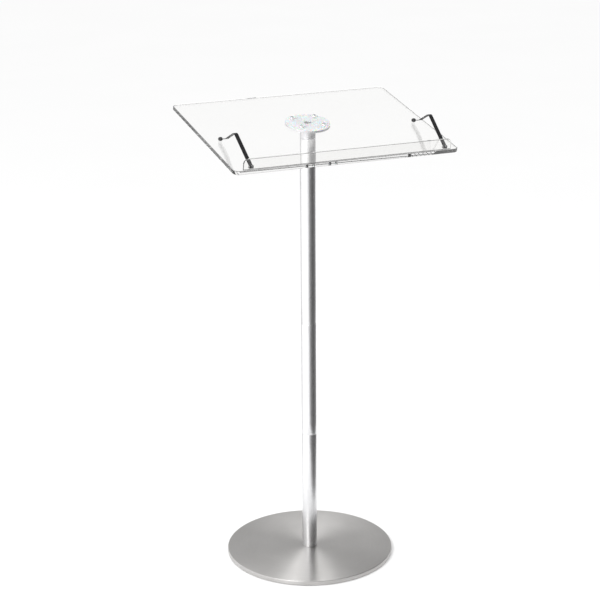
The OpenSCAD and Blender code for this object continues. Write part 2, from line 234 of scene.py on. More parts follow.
@dataclass(frozen=True)
class BrushedMetal(Finish):
    """Metal with a fine directional grain: turned rings or lines along a tube."""

    dark: tuple[float, float, float]
    light: tuple[float, float, float]
    grain: Grain
    rough_low: float
    rough_high: float
    anisotropy: float
    lines_per_metre: float = 2600.0
    line_depth: float = 0.010 * MM
    line_stretch: float = 90.0
    arcs_around: float = 5.0

    def lines(self, wires: Wiring) -> bpy.types.NodeSocket:
        """Wires the grain, drawn out along the direction of brushing.

        Args:
            wires: The material's wiring.

        Returns:
            The grain's noise.
        """
        place = wires.place()
        if self.grain is Grain.LENGTHWISE:
            along = self.lines_per_metre / self.line_stretch
            scale = (self.lines_per_metre, self.lines_per_metre, along)
            return wires.noise(wires.stretched(place, scale), 1.0, 3.0)
        flat = wires.stretched(place, (1.0, 1.0, 0.0))
        radius = wires.add("ShaderNodeVectorMath", {0: flat}, operation="LENGTH").outputs["Value"]
        around = wires.add("ShaderNodeVectorMath", {0: flat}, operation="NORMALIZE").outputs[0]
        arcs = wires.stretched(around, (self.arcs_around, self.arcs_around, 0.0))
        rings = wires.add("ShaderNodeCombineXYZ", {2: wires.sum("MULTIPLY", radius, self.lines_per_metre)})
        both = {0: arcs, 1: rings.outputs[0]}
        return wires.noise(wires.add("ShaderNodeVectorMath", both, operation="ADD").outputs[0], 1.0, 3.0)

    def surface(self, wires: Wiring) -> bpy.types.NodeSocket:
        """Wires a metal whose colour, roughness and relief follow the grain.

        Args:
            wires: The material's wiring.

        Returns:
            The shader.
        """
        lines = self.lines(wires)
        clouds = wires.noise(wires.place(), 9.0)
        both = wires.blended(lines, clouds, 0.6)
        sockets: dict[str, Value] = {
            "Base Color": wires.shades(both, self.dark, self.light),
            "Metallic": 1.0,
            "Roughness": wires.spread(both, self.rough_low, self.rough_high),
            "Anisotropic": self.anisotropy,
            "Normal": wires.bump(lines, self.line_depth),
        }
        if self.grain is Grain.ROUND:
            sockets["Anisotropic Rotation"] = 0.25
            sockets["Tangent"] = wires.add("ShaderNodeTangent", direction_type="RADIAL", axis="Z").outputs[0]
        return wires.add("ShaderNodeBsdfPrincipled", sockets).outputs[0]


@dataclass(frozen=True)
class PlainMetal(Finish):
    """Cast, plated or drawn metal: a grain without direction under slow clouds."""

    dark: tuple[float, float, float]
    light: tuple[float, float, float]
    rough_low: float
    rough_high: float
    grain_size: float
    grain_depth: float

    def surface(self, wires: Wiring) -> bpy.types.NodeSocket:
        """Wires the metal's grain and slow clouds.

        Args:
            wires: The material's wiring.

        Returns:
            The shader.
        """
        place = wires.place()
        grain = wires.noise(place, 1.0 / self.grain_size, 4.0)
        clouds = wires.noise(place, 60.0)
        both = wires.blended(grain, clouds, 0.5)
        sockets = {
            "Base Color": wires.shades(both, self.dark, self.light),
            "Metallic": 1.0,
            "Roughness": wires.spread(both, self.rough_low, self.rough_high),
            "Normal": wires.bump(grain, self.grain_depth),
        }
        return wires.add("ShaderNodeBsdfPrincipled", sockets).outputs[0]


@dataclass(frozen=True)
class Moulded(Finish):
    """Plastic, rubber, foam or paint with a fine skin."""

    dark: tuple[float, float, float]
    light: tuple[float, float, float]
    rough_low: float
    rough_high: float
    grain_size: float
    grain_depth: float
    subsurface: float = 0.0
    sheen: float = 0.0
    specular: float = 0.5
    cells: bool = False

    def surface(self, wires: Wiring) -> bpy.types.NodeSocket:
        """Wires the skin: a grain or small cells, and a slow unevenness of gloss.

        Args:
            wires: The material's wiring.

        Returns:
            The shader.
        """
        place = wires.place()
        if self.cells:
            sockets = {"Vector": place, "Scale": 1.0 / self.grain_size}
            grain = wires.add("ShaderNodeTexVoronoi", sockets).outputs["Distance"]
        else:
            grain = wires.noise(place, 1.0 / self.grain_size, 3.0)
        clouds = wires.noise(place, 110.0)
        both = wires.blended(grain, clouds, 0.5)
        sockets = {
            "Base Color": wires.shades(both, self.dark, self.light),
            "Roughness": wires.spread(both, self.rough_low, self.rough_high),
            "Specular IOR Level": self.specular,
            "Subsurface Weight": self.subsurface,
            "Subsurface Scale": 2.0 * MM,
            "Sheen Weight": self.sheen,
            "Normal": wires.bump(grain, self.grain_depth),
        }
        return wires.add("ShaderNodeBsdfPrincipled", sockets).outputs[0]


@dataclass(frozen=True)
class ClearSheet(Finish):
    """Clear sheet that lets light through to what lies behind and below it."""

    dark: tuple[float, float, float]
    light: tuple[float, float, float]
    ior: float
    rough_low: float
    rough_high: float
    shade: tuple[float, float, float]
    # The arrises' base colour is a painted shade: a dark grey in place of the dark look that the sheet's edges get
    # from light inside it.
    scraped_arris_painted_shade: tuple[float, float, float]
    slope: float
    arris_lean: float = 0.67
    arris_spread: float = 0.22
    scrapes_per_metre: float = 1400.0
    scrape_contrast: float = 2.2
    scraped_rough: float = 0.45

    def arrises(self, wires: Wiring) -> bpy.types.NodeSocket:
        """Finds the arrises, which lean between the sheet's faces and its walls; they carry a painted dark shade
        with scrape marks on it.

        Args:
            wires: The material's wiring.

        Returns:
            A mask that is 1 on the arrises.
        """
        up = (0.0, -math.sin(self.slope), math.cos(self.slope))
        facing = wires.add("ShaderNodeNewGeometry").outputs["True Normal"]
        lean = wires.add("ShaderNodeVectorMath", {0: facing, 1: up}, operation="DOT_PRODUCT").outputs["Value"]
        return wires.sum("COMPARE", wires.sum("ABSOLUTE", lean), self.arris_lean, self.arris_spread)

    def surface(self, wires: Wiring) -> bpy.types.NodeSocket:
        """Wires the sheet: hairline wipe marks on gloss, arrises painted a dull dark shade with scrape marks, and
        a pale see-through shadow.

        Args:
            wires: The material's wiring.

        Returns:
            The shader.
        """
        place = wires.place()
        marks = wires.noise(wires.stretched(place, (900.0, 60.0, 60.0)), 1.0)
        clouds = wires.noise(place, 5.0)
        sockets = {
            "Base Color": wires.shades(clouds, self.dark, self.light),
            "Roughness": wires.spread(marks, self.rough_low, self.rough_high),
            "IOR": self.ior,
            "Transmission Weight": 1.0,
            "Normal": wires.bump(wires.noise(place, 7.0), 0.02 * MM),
        }
        sheet = wires.add("ShaderNodeBsdfPrincipled", sockets).outputs[0]
        # The arrises get a painted shade: a dark grey with paler scrape marks over it, mixed in by the arris mask.
        grain = wires.noise(place, self.scrapes_per_metre, 3.0)
        pale = tuple(self.scrape_contrast * part for part in self.scraped_arris_painted_shade)
        arris_dull_painted_shade = {"Base Color": wires.shades(grain, self.scraped_arris_painted_shade, pale), "Roughness": self.scraped_rough}
        scraped_arris_painted_shade = wires.add("ShaderNodeBsdfPrincipled", arris_dull_painted_shade).outputs[0]
        sheet = wires.add("ShaderNodeMixShader", {0: self.arrises(wires), 1: sheet, 2: scraped_arris_painted_shade}).outputs[0]
        shadow = wires.add("ShaderNodeBsdfTransparent", {"Color": (*self.shade, 1.0)}).outputs[0]
        shaded = wires.add("ShaderNodeLightPath").outputs["Is Shadow Ray"]
        return wires.add("ShaderNodeMixShader", {0: shaded, 1: sheet, 2: shadow}).outputs[0]


FINISHES: tuple[Finish, ...] = (
    BrushedMetal(
        Slot.BASE, dark=(0.46, 0.45, 0.44), light=(0.60, 0.59, 0.58), grain=Grain.ROUND,
        rough_low=0.30, rough_high=0.40, anisotropy=0.85,
    ),
    BrushedMetal(
        Slot.POLE, dark=(0.70, 0.70, 0.71), light=(0.84, 0.84, 0.85), grain=Grain.LENGTHWISE,
        rough_low=0.22, rough_high=0.34, anisotropy=0.0,
    ),
    PlainMetal(
        Slot.HEAD, dark=(0.55, 0.55, 0.57), light=(0.68, 0.68, 0.70),
        rough_low=0.34, rough_high=0.46, grain_size=0.7 * MM, grain_depth=0.03 * MM,
    ),
    PlainMetal(
        Slot.ZINC, dark=(0.50, 0.52, 0.55), light=(0.66, 0.66, 0.62),
        rough_low=0.22, rough_high=0.34, grain_size=0.5 * MM, grain_depth=0.008 * MM,
    ),
    PlainMetal(
        Slot.SCREW, dark=(0.56, 0.56, 0.57), light=(0.70, 0.70, 0.71),
        rough_low=0.18, rough_high=0.30, grain_size=0.3 * MM, grain_depth=0.006 * MM,
    ),
    PlainMetal(
        Slot.WIRE, dark=(0.22, 0.22, 0.24), light=(0.38, 0.38, 0.40),
        rough_low=0.20, rough_high=0.32, grain_size=0.2 * MM, grain_depth=0.004 * MM,
    ),
    Moulded(
        Slot.BLACK, dark=(0.006, 0.006, 0.007), light=(0.014, 0.014, 0.015), specular=0.15,
        rough_low=0.32, rough_high=0.44, grain_size=0.6 * MM, grain_depth=0.02 * MM,
    ),
    Moulded(
        Slot.RUBBER, dark=(0.012, 0.012, 0.013), light=(0.026, 0.026, 0.028),
        rough_low=0.42, rough_high=0.58, grain_size=0.4 * MM, grain_depth=0.02 * MM, sheen=0.05,
    ),
    Moulded(
        Slot.PAD, dark=(0.045, 0.045, 0.048), light=(0.075, 0.075, 0.080),
        rough_low=0.80, rough_high=0.95, grain_size=0.9 * MM, grain_depth=0.15 * MM, cells=True,
    ),
    Moulded(
        Slot.NYLON, dark=(0.80, 0.80, 0.78), light=(0.90, 0.90, 0.88), subsurface=0.3,
        rough_low=0.38, rough_high=0.50, grain_size=0.5 * MM, grain_depth=0.01 * MM,
    ),
    Moulded(
        Slot.GASKET, dark=(0.70, 0.72, 0.74), light=(0.80, 0.82, 0.84), subsurface=0.5,
        rough_low=0.45, rough_high=0.60, grain_size=1.2 * MM, grain_depth=0.02 * MM,
    ),
    ClearSheet(
        Slot.ACRYLIC, dark=(0.960, 0.958, 0.951), light=(0.970, 0.968, 0.962), ior=1.49,
        # The arrises' colour below is a painted dark shade, not a colour of the acrylic.
        rough_low=0.0, rough_high=0.012, shade=(0.90, 0.90, 0.90), scraped_arris_painted_shade=(0.11, 0.11, 0.11),
        slope=math.radians(10.0),
    ),
)


# --------------------------------------------------------------------- shapes


@dataclass(frozen=True)
class Station:
    """One ring of a turned shape; with sides it is a polygon of that corner radius."""

    radius: float
    height: float
    sides: int = 0

    def reach(self, angle: float) -> float:
        """Works out how far the ring reaches at an angle.

        Args:
            angle: The angle, in radians.

        Returns:
            The radius there.
        """
        if not self.sides:
            return self.radius
        half = math.pi / self.sides
        return self.radius * math.cos(half) / math.cos(angle % (2 * half) - half)


def arc(centre: Point, radius: float, start: float, stop: float, steps: int) -> Loop:
    """Returns points along an arc.

    Args:
        centre: The arc's centre.
        radius: Its radius.
        start: The angle of the first point, in degrees.
        stop: The angle of the last point, in degrees.
        steps: How many chords the arc has.

    Returns:
        The steps + 1 points.
    """
    angles = [math.radians(start + (stop - start) * i / steps) for i in range(steps + 1)]
    return [(centre[0] + radius * math.cos(a), centre[1] + radius * math.sin(a)) for a in angles]


def circle(centre: Point, radius: float, steps: int) -> Loop:
    """Returns a closed circle's points, without the first one again."""
    return arc(centre, radius, 0.0, 360.0, steps)[:-1]


class Shape:
    """Points and faces that a piece collects before it becomes a mesh."""

    def __init__(self) -> None:
        """Starts with nothing."""
        self.points: list[Vector] = []
        self.faces: list[tuple[int, ...]] = []

    def ring(self, points: Sequence[Sequence[float]]) -> list[int]:
        """Adds a ring of points.

        Args:
            points: The points, in the shape's own frame.

        Returns:
            Their numbers.
        """
        first = len(self.points)
        self.points.extend(Vector(p) for p in points)
        return list(range(first, len(self.points)))

    def bridge(self, low: list[int], high: list[int]) -> None:
        """Joins two closed rings with faces; a ring of one point is a pole.

        Args:
            low: The first ring's point numbers.
            high: The next ring's point numbers.
        """
        count = max(len(low), len(high))
        for i in range(count):
            j = (i + 1) % count
            if len(low) == 1:
                self.faces.append((low[0], high[j], high[i]))
            elif len(high) == 1:
                self.faces.append((low[i], low[j], high[0]))
            else:
                self.faces.append((low[i], low[j], high[j], high[i]))

    def loft(self, rings: Sequence[list[int]], closed: bool = False) -> None:
        """Joins each ring to the next one.

        Args:
            rings: Each ring's point numbers.
            closed: Whether the last ring joins the first.
        """
        following = list(rings[1:]) + ([rings[0]] if closed else [])
        for low, high in zip(rings, following):
            self.bridge(low, high)

    def cap(self, loops: Sequence[list[int]], flat: Callable[[Vector], Vector], turn_over: bool) -> None:
        """Fills an outline that may have holes.

        Args:
            loops: The outline's point numbers, then those of each hole.
            flat: Gives the point's place in the plane that is filled.
            turn_over: True where the face looks down.
        """
        numbers = [n for loop in loops for n in loop]
        corners = [[flat(self.points[n]) for n in loop] for loop in loops]
        for a, b, c in tessellate_polygon(corners):
            u, v, w = (numbers[i] for i in (a, b, c))
            pu, pv, pw = (flat(self.points[i]) for i in (u, v, w))
            upward = (pv - pu).cross(pw - pu).z > 0
            self.faces.append((u, v, w) if upward != turn_over else (w, v, u))

    def turn(
        self, profile: Sequence[Station], steps: int = 96, closed: bool = False,
        relief: Optional[Callable[[float, float, float], float]] = None,
    ) -> "Shape":
        """Turns a profile about the Z axis.

        Args:
            profile: The rings, from the bottom of the axis out and up to its top.
            steps: How many points each ring has.
            closed: True for a tube, whose last ring joins the first.
            relief: Gives the true radius from a radius, a height and an angle.

        Returns:
            This shape.
        """
        rings = []
        for station in profile:
            if station.radius == 0.0:
                rings.append(self.ring([(0.0, 0.0, station.height)]))
                continue
            ring = []
            for i in range(steps):
                angle = 2 * math.pi * i / steps
                radius = station.reach(angle)
                if relief:
                    radius = relief(radius, station.height, angle)
                ring.append((radius * math.cos(angle), radius * math.sin(angle), station.height))
            rings.append(self.ring(ring))
        self.loft(rings, closed)
        return self

    def plate(
        self, loops: Callable[[float], list[Loop]], thickness: float, arris: float,
    ) -> "Shape":
        """Adds a flat plate with chamfered edges, from height 0 up.

        Args:
            loops: Gives the outline and the holes, stood back by an inset.
            thickness: The plate's thickness.
            arris: The width of the chamfer on each edge.

        Returns:
            This shape.
        """
        levels = ((0.0, arris), (arris, 0.0), (thickness - arris, 0.0), (thickness, arris))
        stack = [
            [self.ring([(x, y, height) for x, y in loop]) for loop in loops(inset)]
            for height, inset in levels
        ]
        for walls in zip(*stack):
            self.loft(walls)
        self.cap(stack[0], lambda p: Vector((p.x, p.y, 0.0)), turn_over=True)
        self.cap(stack[-1], lambda p: Vector((p.x, p.y, 0.0)), turn_over=False)
        return self

    def placed(self, matrix: Matrix) -> "Shape":
        """Moves every point by a matrix and returns this shape."""
        self.points = [matrix @ p for p in self.points]
        return self

    def joined(self, other: "Shape") -> "Shape":
        """Adds another shape's shell beside this one.

        Args:
            other: The shape that is added.

        Returns:
            This shape.
        """
        first = len(self.points)
        self.points.extend(other.points)
        self.faces.extend(tuple(first + i for i in face) for face in other.faces)
        return self

    def mesh(self, name: str, crease: float = CREASE) -> bpy.types.Mesh:
        """Makes a clean mesh of the shape.

        Args:
            name: The mesh's name.
            crease: The angle in degrees from which an edge is shaded sharp.

        Returns:
            The mesh, its faces outwards.
        """
        mesh = bpy.data.meshes.new(name)
        mesh.from_pydata(self.points, [], self.faces)
        tidy_mesh(mesh, crease)
        return mesh


def tidy_mesh(mesh: bpy.types.Mesh, crease: float) -> None:
    """Merges double points, turns faces outwards and shades a mesh.

    Args:
        mesh: The mesh to clean.
        crease: The angle in degrees from which an edge is shaded sharp.
    """
    work = bmesh.new()
    work.from_mesh(mesh)
    bmesh.ops.remove_doubles(work, verts=work.verts, dist=0.0005 * MM)
    bmesh.ops.recalc_face_normals(work, faces=work.faces)
    work.to_mesh(mesh)
    work.free()
    mesh.shade_smooth()
    mesh.set_sharp_from_angle(angle=math.radians(crease))


def rounded_outline(width: float, depth: float, front_r: float, back_r: float, inset: float = 0.0) -> Loop:
    """Returns a rectangle's outline with rounded corners, its front edge's middle at the origin.

    Args:
        width: Size along x.
        depth: Size along y.
        front_r: Radius of the two corners at y = 0; 0 leaves them square.
        back_r: Radius of the two corners at the back.
        inset: How far the outline stands back from the edge.

    Returns:
        The outline, counter-clockwise.
    """
    half = width / 2
    corners = (
        (half, 0.0, front_r, -90), (half, depth, back_r, 0),
        (-half, depth, back_r, 90), (-half, 0.0, front_r, 180),
    )
    loop: Loop = []
    for x, y, radius, start in corners:
        in_x, in_y = -math.copysign(1.0, x), 1.0 if y == 0.0 else -1.0
        if radius == 0.0:
            loop.append((x + in_x * inset, y + in_y * inset))
        else:
            centre = (x + in_x * radius, y + in_y * radius)
            loop.extend(arc(centre, radius - inset, start, start + 90, 20))
    return loop


# --------------------------------------------------------------------- pieces


class Workshop:
    """Dresses pieces and hands them to the frame."""

    def __init__(self) -> None:
        """Makes each slot's material and dresses the CAD nodes with it."""
        self.materials = {finish.slot: finish.material() for finish in FINISHES}
        self.slot_of = {part["node"]: Slot(part["material_slot"]) for part in frame["record"]["subparts"]}
        for name, node in frame["nodes"].items():
            node.data.materials.clear()
            node.data.materials.append(self.materials[self.slot_of[name]])

    def hand_in(self, name: str, mesh: bpy.types.Mesh, body: Body, node: str) -> None:
        """Makes a piece that stands for a CAD node.

        Args:
            name: The piece's name.
            mesh: Its mesh, in the frame's own coordinates.
            body: The body that it rides on.
            node: The CAD node that it replaces, whose slot it takes.
        """
        piece = bpy.data.objects.new(name, mesh)
        bpy.context.scene.collection.objects.link(piece)
        slot = self.slot_of[node]
        mesh.materials.clear()
        mesh.materials.append(self.materials[slot])
        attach(piece, body.value)
        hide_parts(node)
        log.info("%s: %d faces, rides on %s, stands for %s", name, len(mesh.polygons), body.value, node)

    def make(self, name: str, shape: Shape, body: Body, node: str, crease: float = CREASE) -> None:
        """Makes a shape a mesh of the piece's own name and hands it in."""
        self.hand_in(name, shape.mesh(name, crease), body, node)


def middle_and_size(node: str) -> tuple[Vector, Vector]:
    """Returns the middle and the size of a CAD node's box."""
    low, high = (Vector(corner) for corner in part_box(node))
    return (low + high) / 2, high - low


def turned_size(node: str) -> tuple[float, float, float]:
    """Returns the bottom, the top and the radius of an upright turned CAD node."""
    middle, size = middle_and_size(node)
    return middle.z - size.z / 2, middle.z + size.z / 2, size.x / 2


@dataclass
class Thread:
    """A rolled screw thread, cut inwards from the nominal radius."""

    radius: float
    pitch: float
    start: float
    stop: float
    depth_share: float = 0.55
    rings_per_turn: int = 8
    flank: float = 2.6
    crest: float = 0.15
    run_out: float = 0.4

    @property
    def depth(self) -> float:
        """The thread's depth, near that of a metric one."""
        return self.pitch * self.depth_share

    def rows(self) -> list[Station]:
        """Spaces rings closely enough to draw the thread.

        Returns:
            The rings, from its start to its end.
        """
        count = math.ceil((self.stop - self.start) / self.pitch * self.rings_per_turn)
        heights = [self.start + (self.stop - self.start) * i / count for i in range(count + 1)]
        return [Station(self.radius, height) for height in heights]

    def relief(self, radius: float, height: float, angle: float) -> float:
        """Takes the thread's groove off a radius.

        Args:
            radius: The radius without a thread.
            height: The height of the point.
            angle: Its angle, in radians.

        Returns:
            The radius that is left.
        """
        if not self.start <= height <= self.stop or radius < self.radius - self.depth:
            return radius
        phase = ((height - self.start) / self.pitch - angle / (2 * math.pi)) % 1.0
        groove = min(1.0, max(0.0, abs(phase - 0.5) * self.flank - self.crest))
        fade = min(1.0, (height - self.start) / self.pitch, (self.stop - height) / self.pitch + self.run_out)
        return radius - self.depth * groove * fade


@dataclass
class BaseAssembly:
    """The round base: floor pad, steel disc and the stud that holds the pole."""

    rim_r: float = 1.5 * MM
    bore_r: float = 5.4 * MM
    stud_r: float = 5.0 * MM
    thread_pitch: float = 1.5 * MM
    thread_end: float = 0.8 * MM
    mouth_edge: float = 0.3 * MM
    head_edge: float = 0.2 * MM
    pad_edge: float = 0.3 * MM

    def disc(self) -> Shape:
        """Turns the disc with soft rims and a countersunk bore.

        Returns:
            The shape, in the model's frame.
        """
        low, high, edge = turned_size("base_disc")
        sink = 2 * self.stud_r
        side = edge - self.rim_r
        profile = [Station(self.bore_r, low + sink - self.bore_r), Station(sink, low)]
        profile += [Station(side * i / 4, low) for i in (2, 3)]
        profile += [Station(r, z) for r, z in arc((side, low + self.rim_r), self.rim_r, -90, 0, 8)]
        profile += [Station(r, z) for r, z in arc((side, high - self.rim_r), self.rim_r, 0, 90, 8)]
        profile += [Station(side * i / 12, high) for i in range(11, 1, -1)]
        profile.append(Station(self.bore_r + self.mouth_edge, high))
        profile.append(Station(self.bore_r, high - self.mouth_edge))
        return Shape().turn(profile, steps=256, closed=True)

    def pad(self) -> Shape:
        """Turns the foam floor pad with a soft die-cut edge.

        Returns:
            The shape, in the model's frame.
        """
        low, high, edge = turned_size("base_pad")
        profile = [Station(0.0, low), Station(edge / 2, low), Station(edge - self.pad_edge, low)]
        profile += [Station(edge, low + self.pad_edge), Station(edge, high - self.pad_edge)]
        profile += [Station(edge - self.pad_edge, high), Station(edge / 2, high), Station(0.0, high)]
        return Shape().turn(profile, steps=192)

    def stud(self) -> Shape:
        """Turns the countersunk stud, threaded above the disc.

        Returns:
            The shape, in the model's frame.
        """
        low, high, head = turned_size("base_stud")
        disc_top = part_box("base_disc")[1][2]
        thread = Thread(self.stud_r, self.thread_pitch, disc_top, high - self.thread_end)
        edge = self.head_edge
        profile = [Station(0.0, low), Station(head - edge, low), Station(head, low + edge)]
        profile += [Station(self.stud_r, low + head - self.stud_r)]
        profile += thread.rows() + [Station(self.stud_r - self.thread_end, high), Station(0.0, high)]
        return Shape().turn(profile, steps=48, relief=thread.relief)

    def build(self, shop: Workshop) -> None:
        """Hands in the base's pieces.

        Args:
            shop: Takes the pieces.
        """
        shop.make("base_disc_brushed", self.disc(), Body.STAND, "base_disc")
        shop.make("base_floor_pad", self.pad(), Body.STAND, "base_pad")
        shop.make("base_stud_threaded", self.stud(), Body.STAND, "base_stud")


@dataclass
class PoleAssembly:
    """Three tubes with threaded inserts, screwed end to end over studs."""

    wall: float = 1.5 * MM
    chamfer: float = 1.0 * MM
    joint_soft: float = 0.25 * MM
    insert_edge: float = 0.6 * MM
    insert_groove: float = 0.8 * MM
    stud_r: float = 5.0 * MM
    thread_pitch: float = 1.5 * MM
    thread_end: float = 0.8 * MM
    tubes: tuple[str, ...] = ("lower", "middle", "upper")
    inserts: tuple[str, ...] = (
        "foot_insert", "lower_top_insert", "middle_bottom_insert",
        "middle_top_insert", "upper_bottom_insert", "upper_top_insert",
    )

    def tube(self, node: str) -> Shape:
        """Turns a tube whose ends are rounded back to a fine groove.

        Args:
            node: The CAD node that it stands for.

        Returns:
            The shape, in the model's frame.
        """
        low, high, outer = turned_size(node)
        bore = outer - self.wall
        edge, soft = self.chamfer, self.joint_soft
        profile = [Station(bore, low), Station(outer - edge, low), Station(outer - soft, low + edge - soft)]
        profile += [Station(outer, low + edge + soft)]
        profile += [Station(outer, low + (high - low) * i / 8) for i in range(1, 8)]
        profile += [Station(outer, high - edge - soft), Station(outer - soft, high - edge + soft)]
        profile += [Station(outer - edge, high), Station(bore, high)]
        return Shape().turn(profile, steps=160, closed=True)

    def insert(self, node: str) -> Shape:
        """Turns an insert with two grip grooves and chamfered mouths.

        Args:
            node: The CAD node that it stands for.

        Returns:
            The shape, in the model's frame.
        """
        low, high, outer = turned_size(node)
        edge, groove, bore = self.insert_edge, self.insert_groove, self.stud_r
        middle = (low + high) / 2
        profile = [Station(bore + edge, low), Station(outer - edge, low), Station(outer, low + edge)]
        for z in (middle - 1.5 * groove, middle + 1.5 * groove):
            profile += [Station(outer, z - groove), Station(outer - groove / 2, z - groove / 2)]
            profile += [Station(outer - groove / 2, z + groove / 2), Station(outer, z + groove)]
        profile += [Station(outer, high - edge), Station(outer - edge, high), Station(bore + edge, high)]
        profile += [Station(bore, high - edge), Station(bore, low + edge)]
        return Shape().turn(profile, steps=96, closed=True)

    def stud(self, node: str) -> Shape:
        """Turns a stud threaded from both ends.

        Args:
            node: The CAD node that it stands for.

        Returns:
            The shape, in the model's frame.
        """
        low, high, _ = turned_size(node)
        end = self.thread_end
        thread = Thread(self.stud_r, self.thread_pitch, low + end, high - end)
        profile = [Station(0.0, low), Station(self.stud_r - end, low)]
        profile += thread.rows() + [Station(self.stud_r - end, high), Station(0.0, high)]
        return Shape().turn(profile, steps=48, relief=thread.relief)

    def build(self, shop: Workshop) -> None:
        """Hands in the pole's pieces.

        Args:
            shop: Takes the pieces.
        """
        for part in self.tubes:
            shop.make(f"{part}_tube_satin", self.tube(f"{part}_tube"), Body.STAND, f"{part}_tube")
        for node in self.inserts:
            shop.make(f"{node}_turned", self.insert(node), Body.STAND, node)
        for node in ("joint_stud_lower", "joint_stud_upper"):
            shop.make(f"{node}_threaded", self.stud(node), Body.STAND, node)


@dataclass
class TrayFrame:
    """The tray's own frame: x across, y up the slope and z off its top face."""

    tilt: float
    width: float
    depth: float
    thickness: float
    matrix: Matrix

    @classmethod
    def measured(cls) -> "TrayFrame":
        """Reads the tray's slope from the record and its sizes from its box.

        Returns:
            The tray's frame.
        """
        face = next(m for m in frame["record"]["mounts"] if m["name"] == "reading_face")
        sine, cosine = -face["axis"][1], face["axis"][2]
        low, high = (Vector(corner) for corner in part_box("tray_panel"))
        run, rise = high.y - low.y, high.z - low.z
        spin = cosine**2 - sine**2
        depth = (run * cosine - rise * sine) / spin
        thickness = (rise * cosine - run * sine) / spin
        tilt = math.atan2(sine, cosine)
        start = Vector((0.0, low.y, high.z - depth * sine))
        matrix = Matrix.Translation(start) @ Matrix.Rotation(tilt, 4, "X")
        return cls(tilt, high.x - low.x, depth, thickness, matrix)

    def at(self, x: float, y: float, z: float = 0.0) -> Vector:
        """Returns a point of the tray in the model's frame."""
        return self.matrix @ Vector((x, y, z))

    def local(self, point: Vector) -> Vector:
        """Returns a point of the model in the tray's frame."""
        return self.matrix.inverted() @ point


@dataclass
class ScrewPattern:
    """The ring of screws that ties the tray to its head."""

    count: int = 4
    circle_r: float = 44.0 * MM
    screw_r: float = 3.0 * MM
    clearance: float = 0.3 * MM
    centre_y: float = 0.0

    def places(self) -> list[Point]:
        """Returns each screw's place in the tray's plane."""
        angles = [2 * math.pi * (i + 0.5) / self.count for i in range(self.count)]
        return [(self.circle_r * math.cos(a), self.centre_y + self.circle_r * math.sin(a)) for a in angles]

    def holes(self, radius: float, steps: int = 48) -> list[Loop]:
        """Returns a round hole at each screw."""
        return [circle(place, radius, steps) for place in self.places()]


class PieceTree:
    """A geometry tree with named inputs that ends in real, dressed faces."""

    extra: tuple[tuple[str, str], ...] = ()

    def __init__(self, name: str) -> None:
        """Builds the tree with its named inputs.

        Args:
            name: The tree's name.
        """
        self.tree = bpy.data.node_groups.new(name, "GeometryNodeTree")
        self.inputs: dict[str, str] = {}
        sockets = (("Geometry", "NodeSocketGeometry"), *self.extra, ("Finish", "NodeSocketMaterial"))
        for label, kind in sockets:
            made = self.tree.interface.new_socket(label, in_out="INPUT", socket_type=kind)
            self.inputs[label] = made.identifier
        self.tree.interface.new_socket("Geometry", in_out="OUTPUT", socket_type="NodeSocketGeometry")
        wires = Wiring(self.tree)
        given = wires.add("NodeGroupInput").outputs
        real = wires.add("GeometryNodeRealizeInstances", {"Geometry": self.shape(wires, given)}).outputs[0]
        finish = {"Geometry": real, "Material": given["Finish"]}
        dressed = wires.add("GeometryNodeSetMaterial", finish).outputs[0]
        wires.add("NodeGroupOutput", {"Geometry": dressed})

    def shape(self, wires: Wiring, given: bpy.types.NodeOutputs) -> bpy.types.NodeSocket:
        """Wires what the tree makes of its inputs; each kind of tree has its own."""
        raise NotImplementedError


class RingOfCopies(PieceTree):
    """A geometry tree that sets copies of a shape round a circle."""

    extra = (
        ("Count", "NodeSocketInt"), ("Circle Radius", "NodeSocketFloat"), ("First Angle", "NodeSocketFloat"),
    )

    def shape(self, wires: Wiring, given: bpy.types.NodeOutputs) -> bpy.types.NodeSocket:
        """Wires a ring of points, turned to the first angle, and one copy on each.

        Args:
            wires: The tree's wiring.
            given: The tree's inputs.

        Returns:
            The copies.
        """
        circled = {"Vertices": given["Count"], "Radius": given["Circle Radius"]}
        ring = wires.add("GeometryNodeMeshCircle", circled).outputs[0]
        turned = wires.add("ShaderNodeCombineXYZ", {"Z": given["First Angle"]}).outputs[0]
        spun = wires.add("GeometryNodeTransform", {"Geometry": ring, "Rotation": turned}).outputs[0]
        copied = {"Points": spun, "Instance": given["Geometry"]}
        return wires.add("GeometryNodeInstanceOnPoints", copied).outputs[0]


class WireSweep(PieceTree):
    """A geometry tree that sweeps a round wire along a line of points."""

    extra = (("Wire Radius", "NodeSocketFloat"), ("Sides", "NodeSocketInt"))

    def shape(self, wires: Wiring, given: bpy.types.NodeOutputs) -> bpy.types.NodeSocket:
        """Wires the line as a curve and sweeps a capped circle along it.

        Args:
            wires: The tree's wiring.
            given: The tree's inputs.

        Returns:
            The wire's surface.
        """
        line = wires.add("GeometryNodeMeshToCurve", {"Mesh": given["Geometry"]}).outputs[0]
        rounded = {"Resolution": given["Sides"], "Radius": given["Wire Radius"]}
        ring = wires.add("GeometryNodeCurvePrimitiveCircle", rounded).outputs[0]
        swept = {"Curve": line, "Profile Curve": ring, "Fill Caps": True}
        return wires.add("GeometryNodeCurveToMesh", swept).outputs[0]


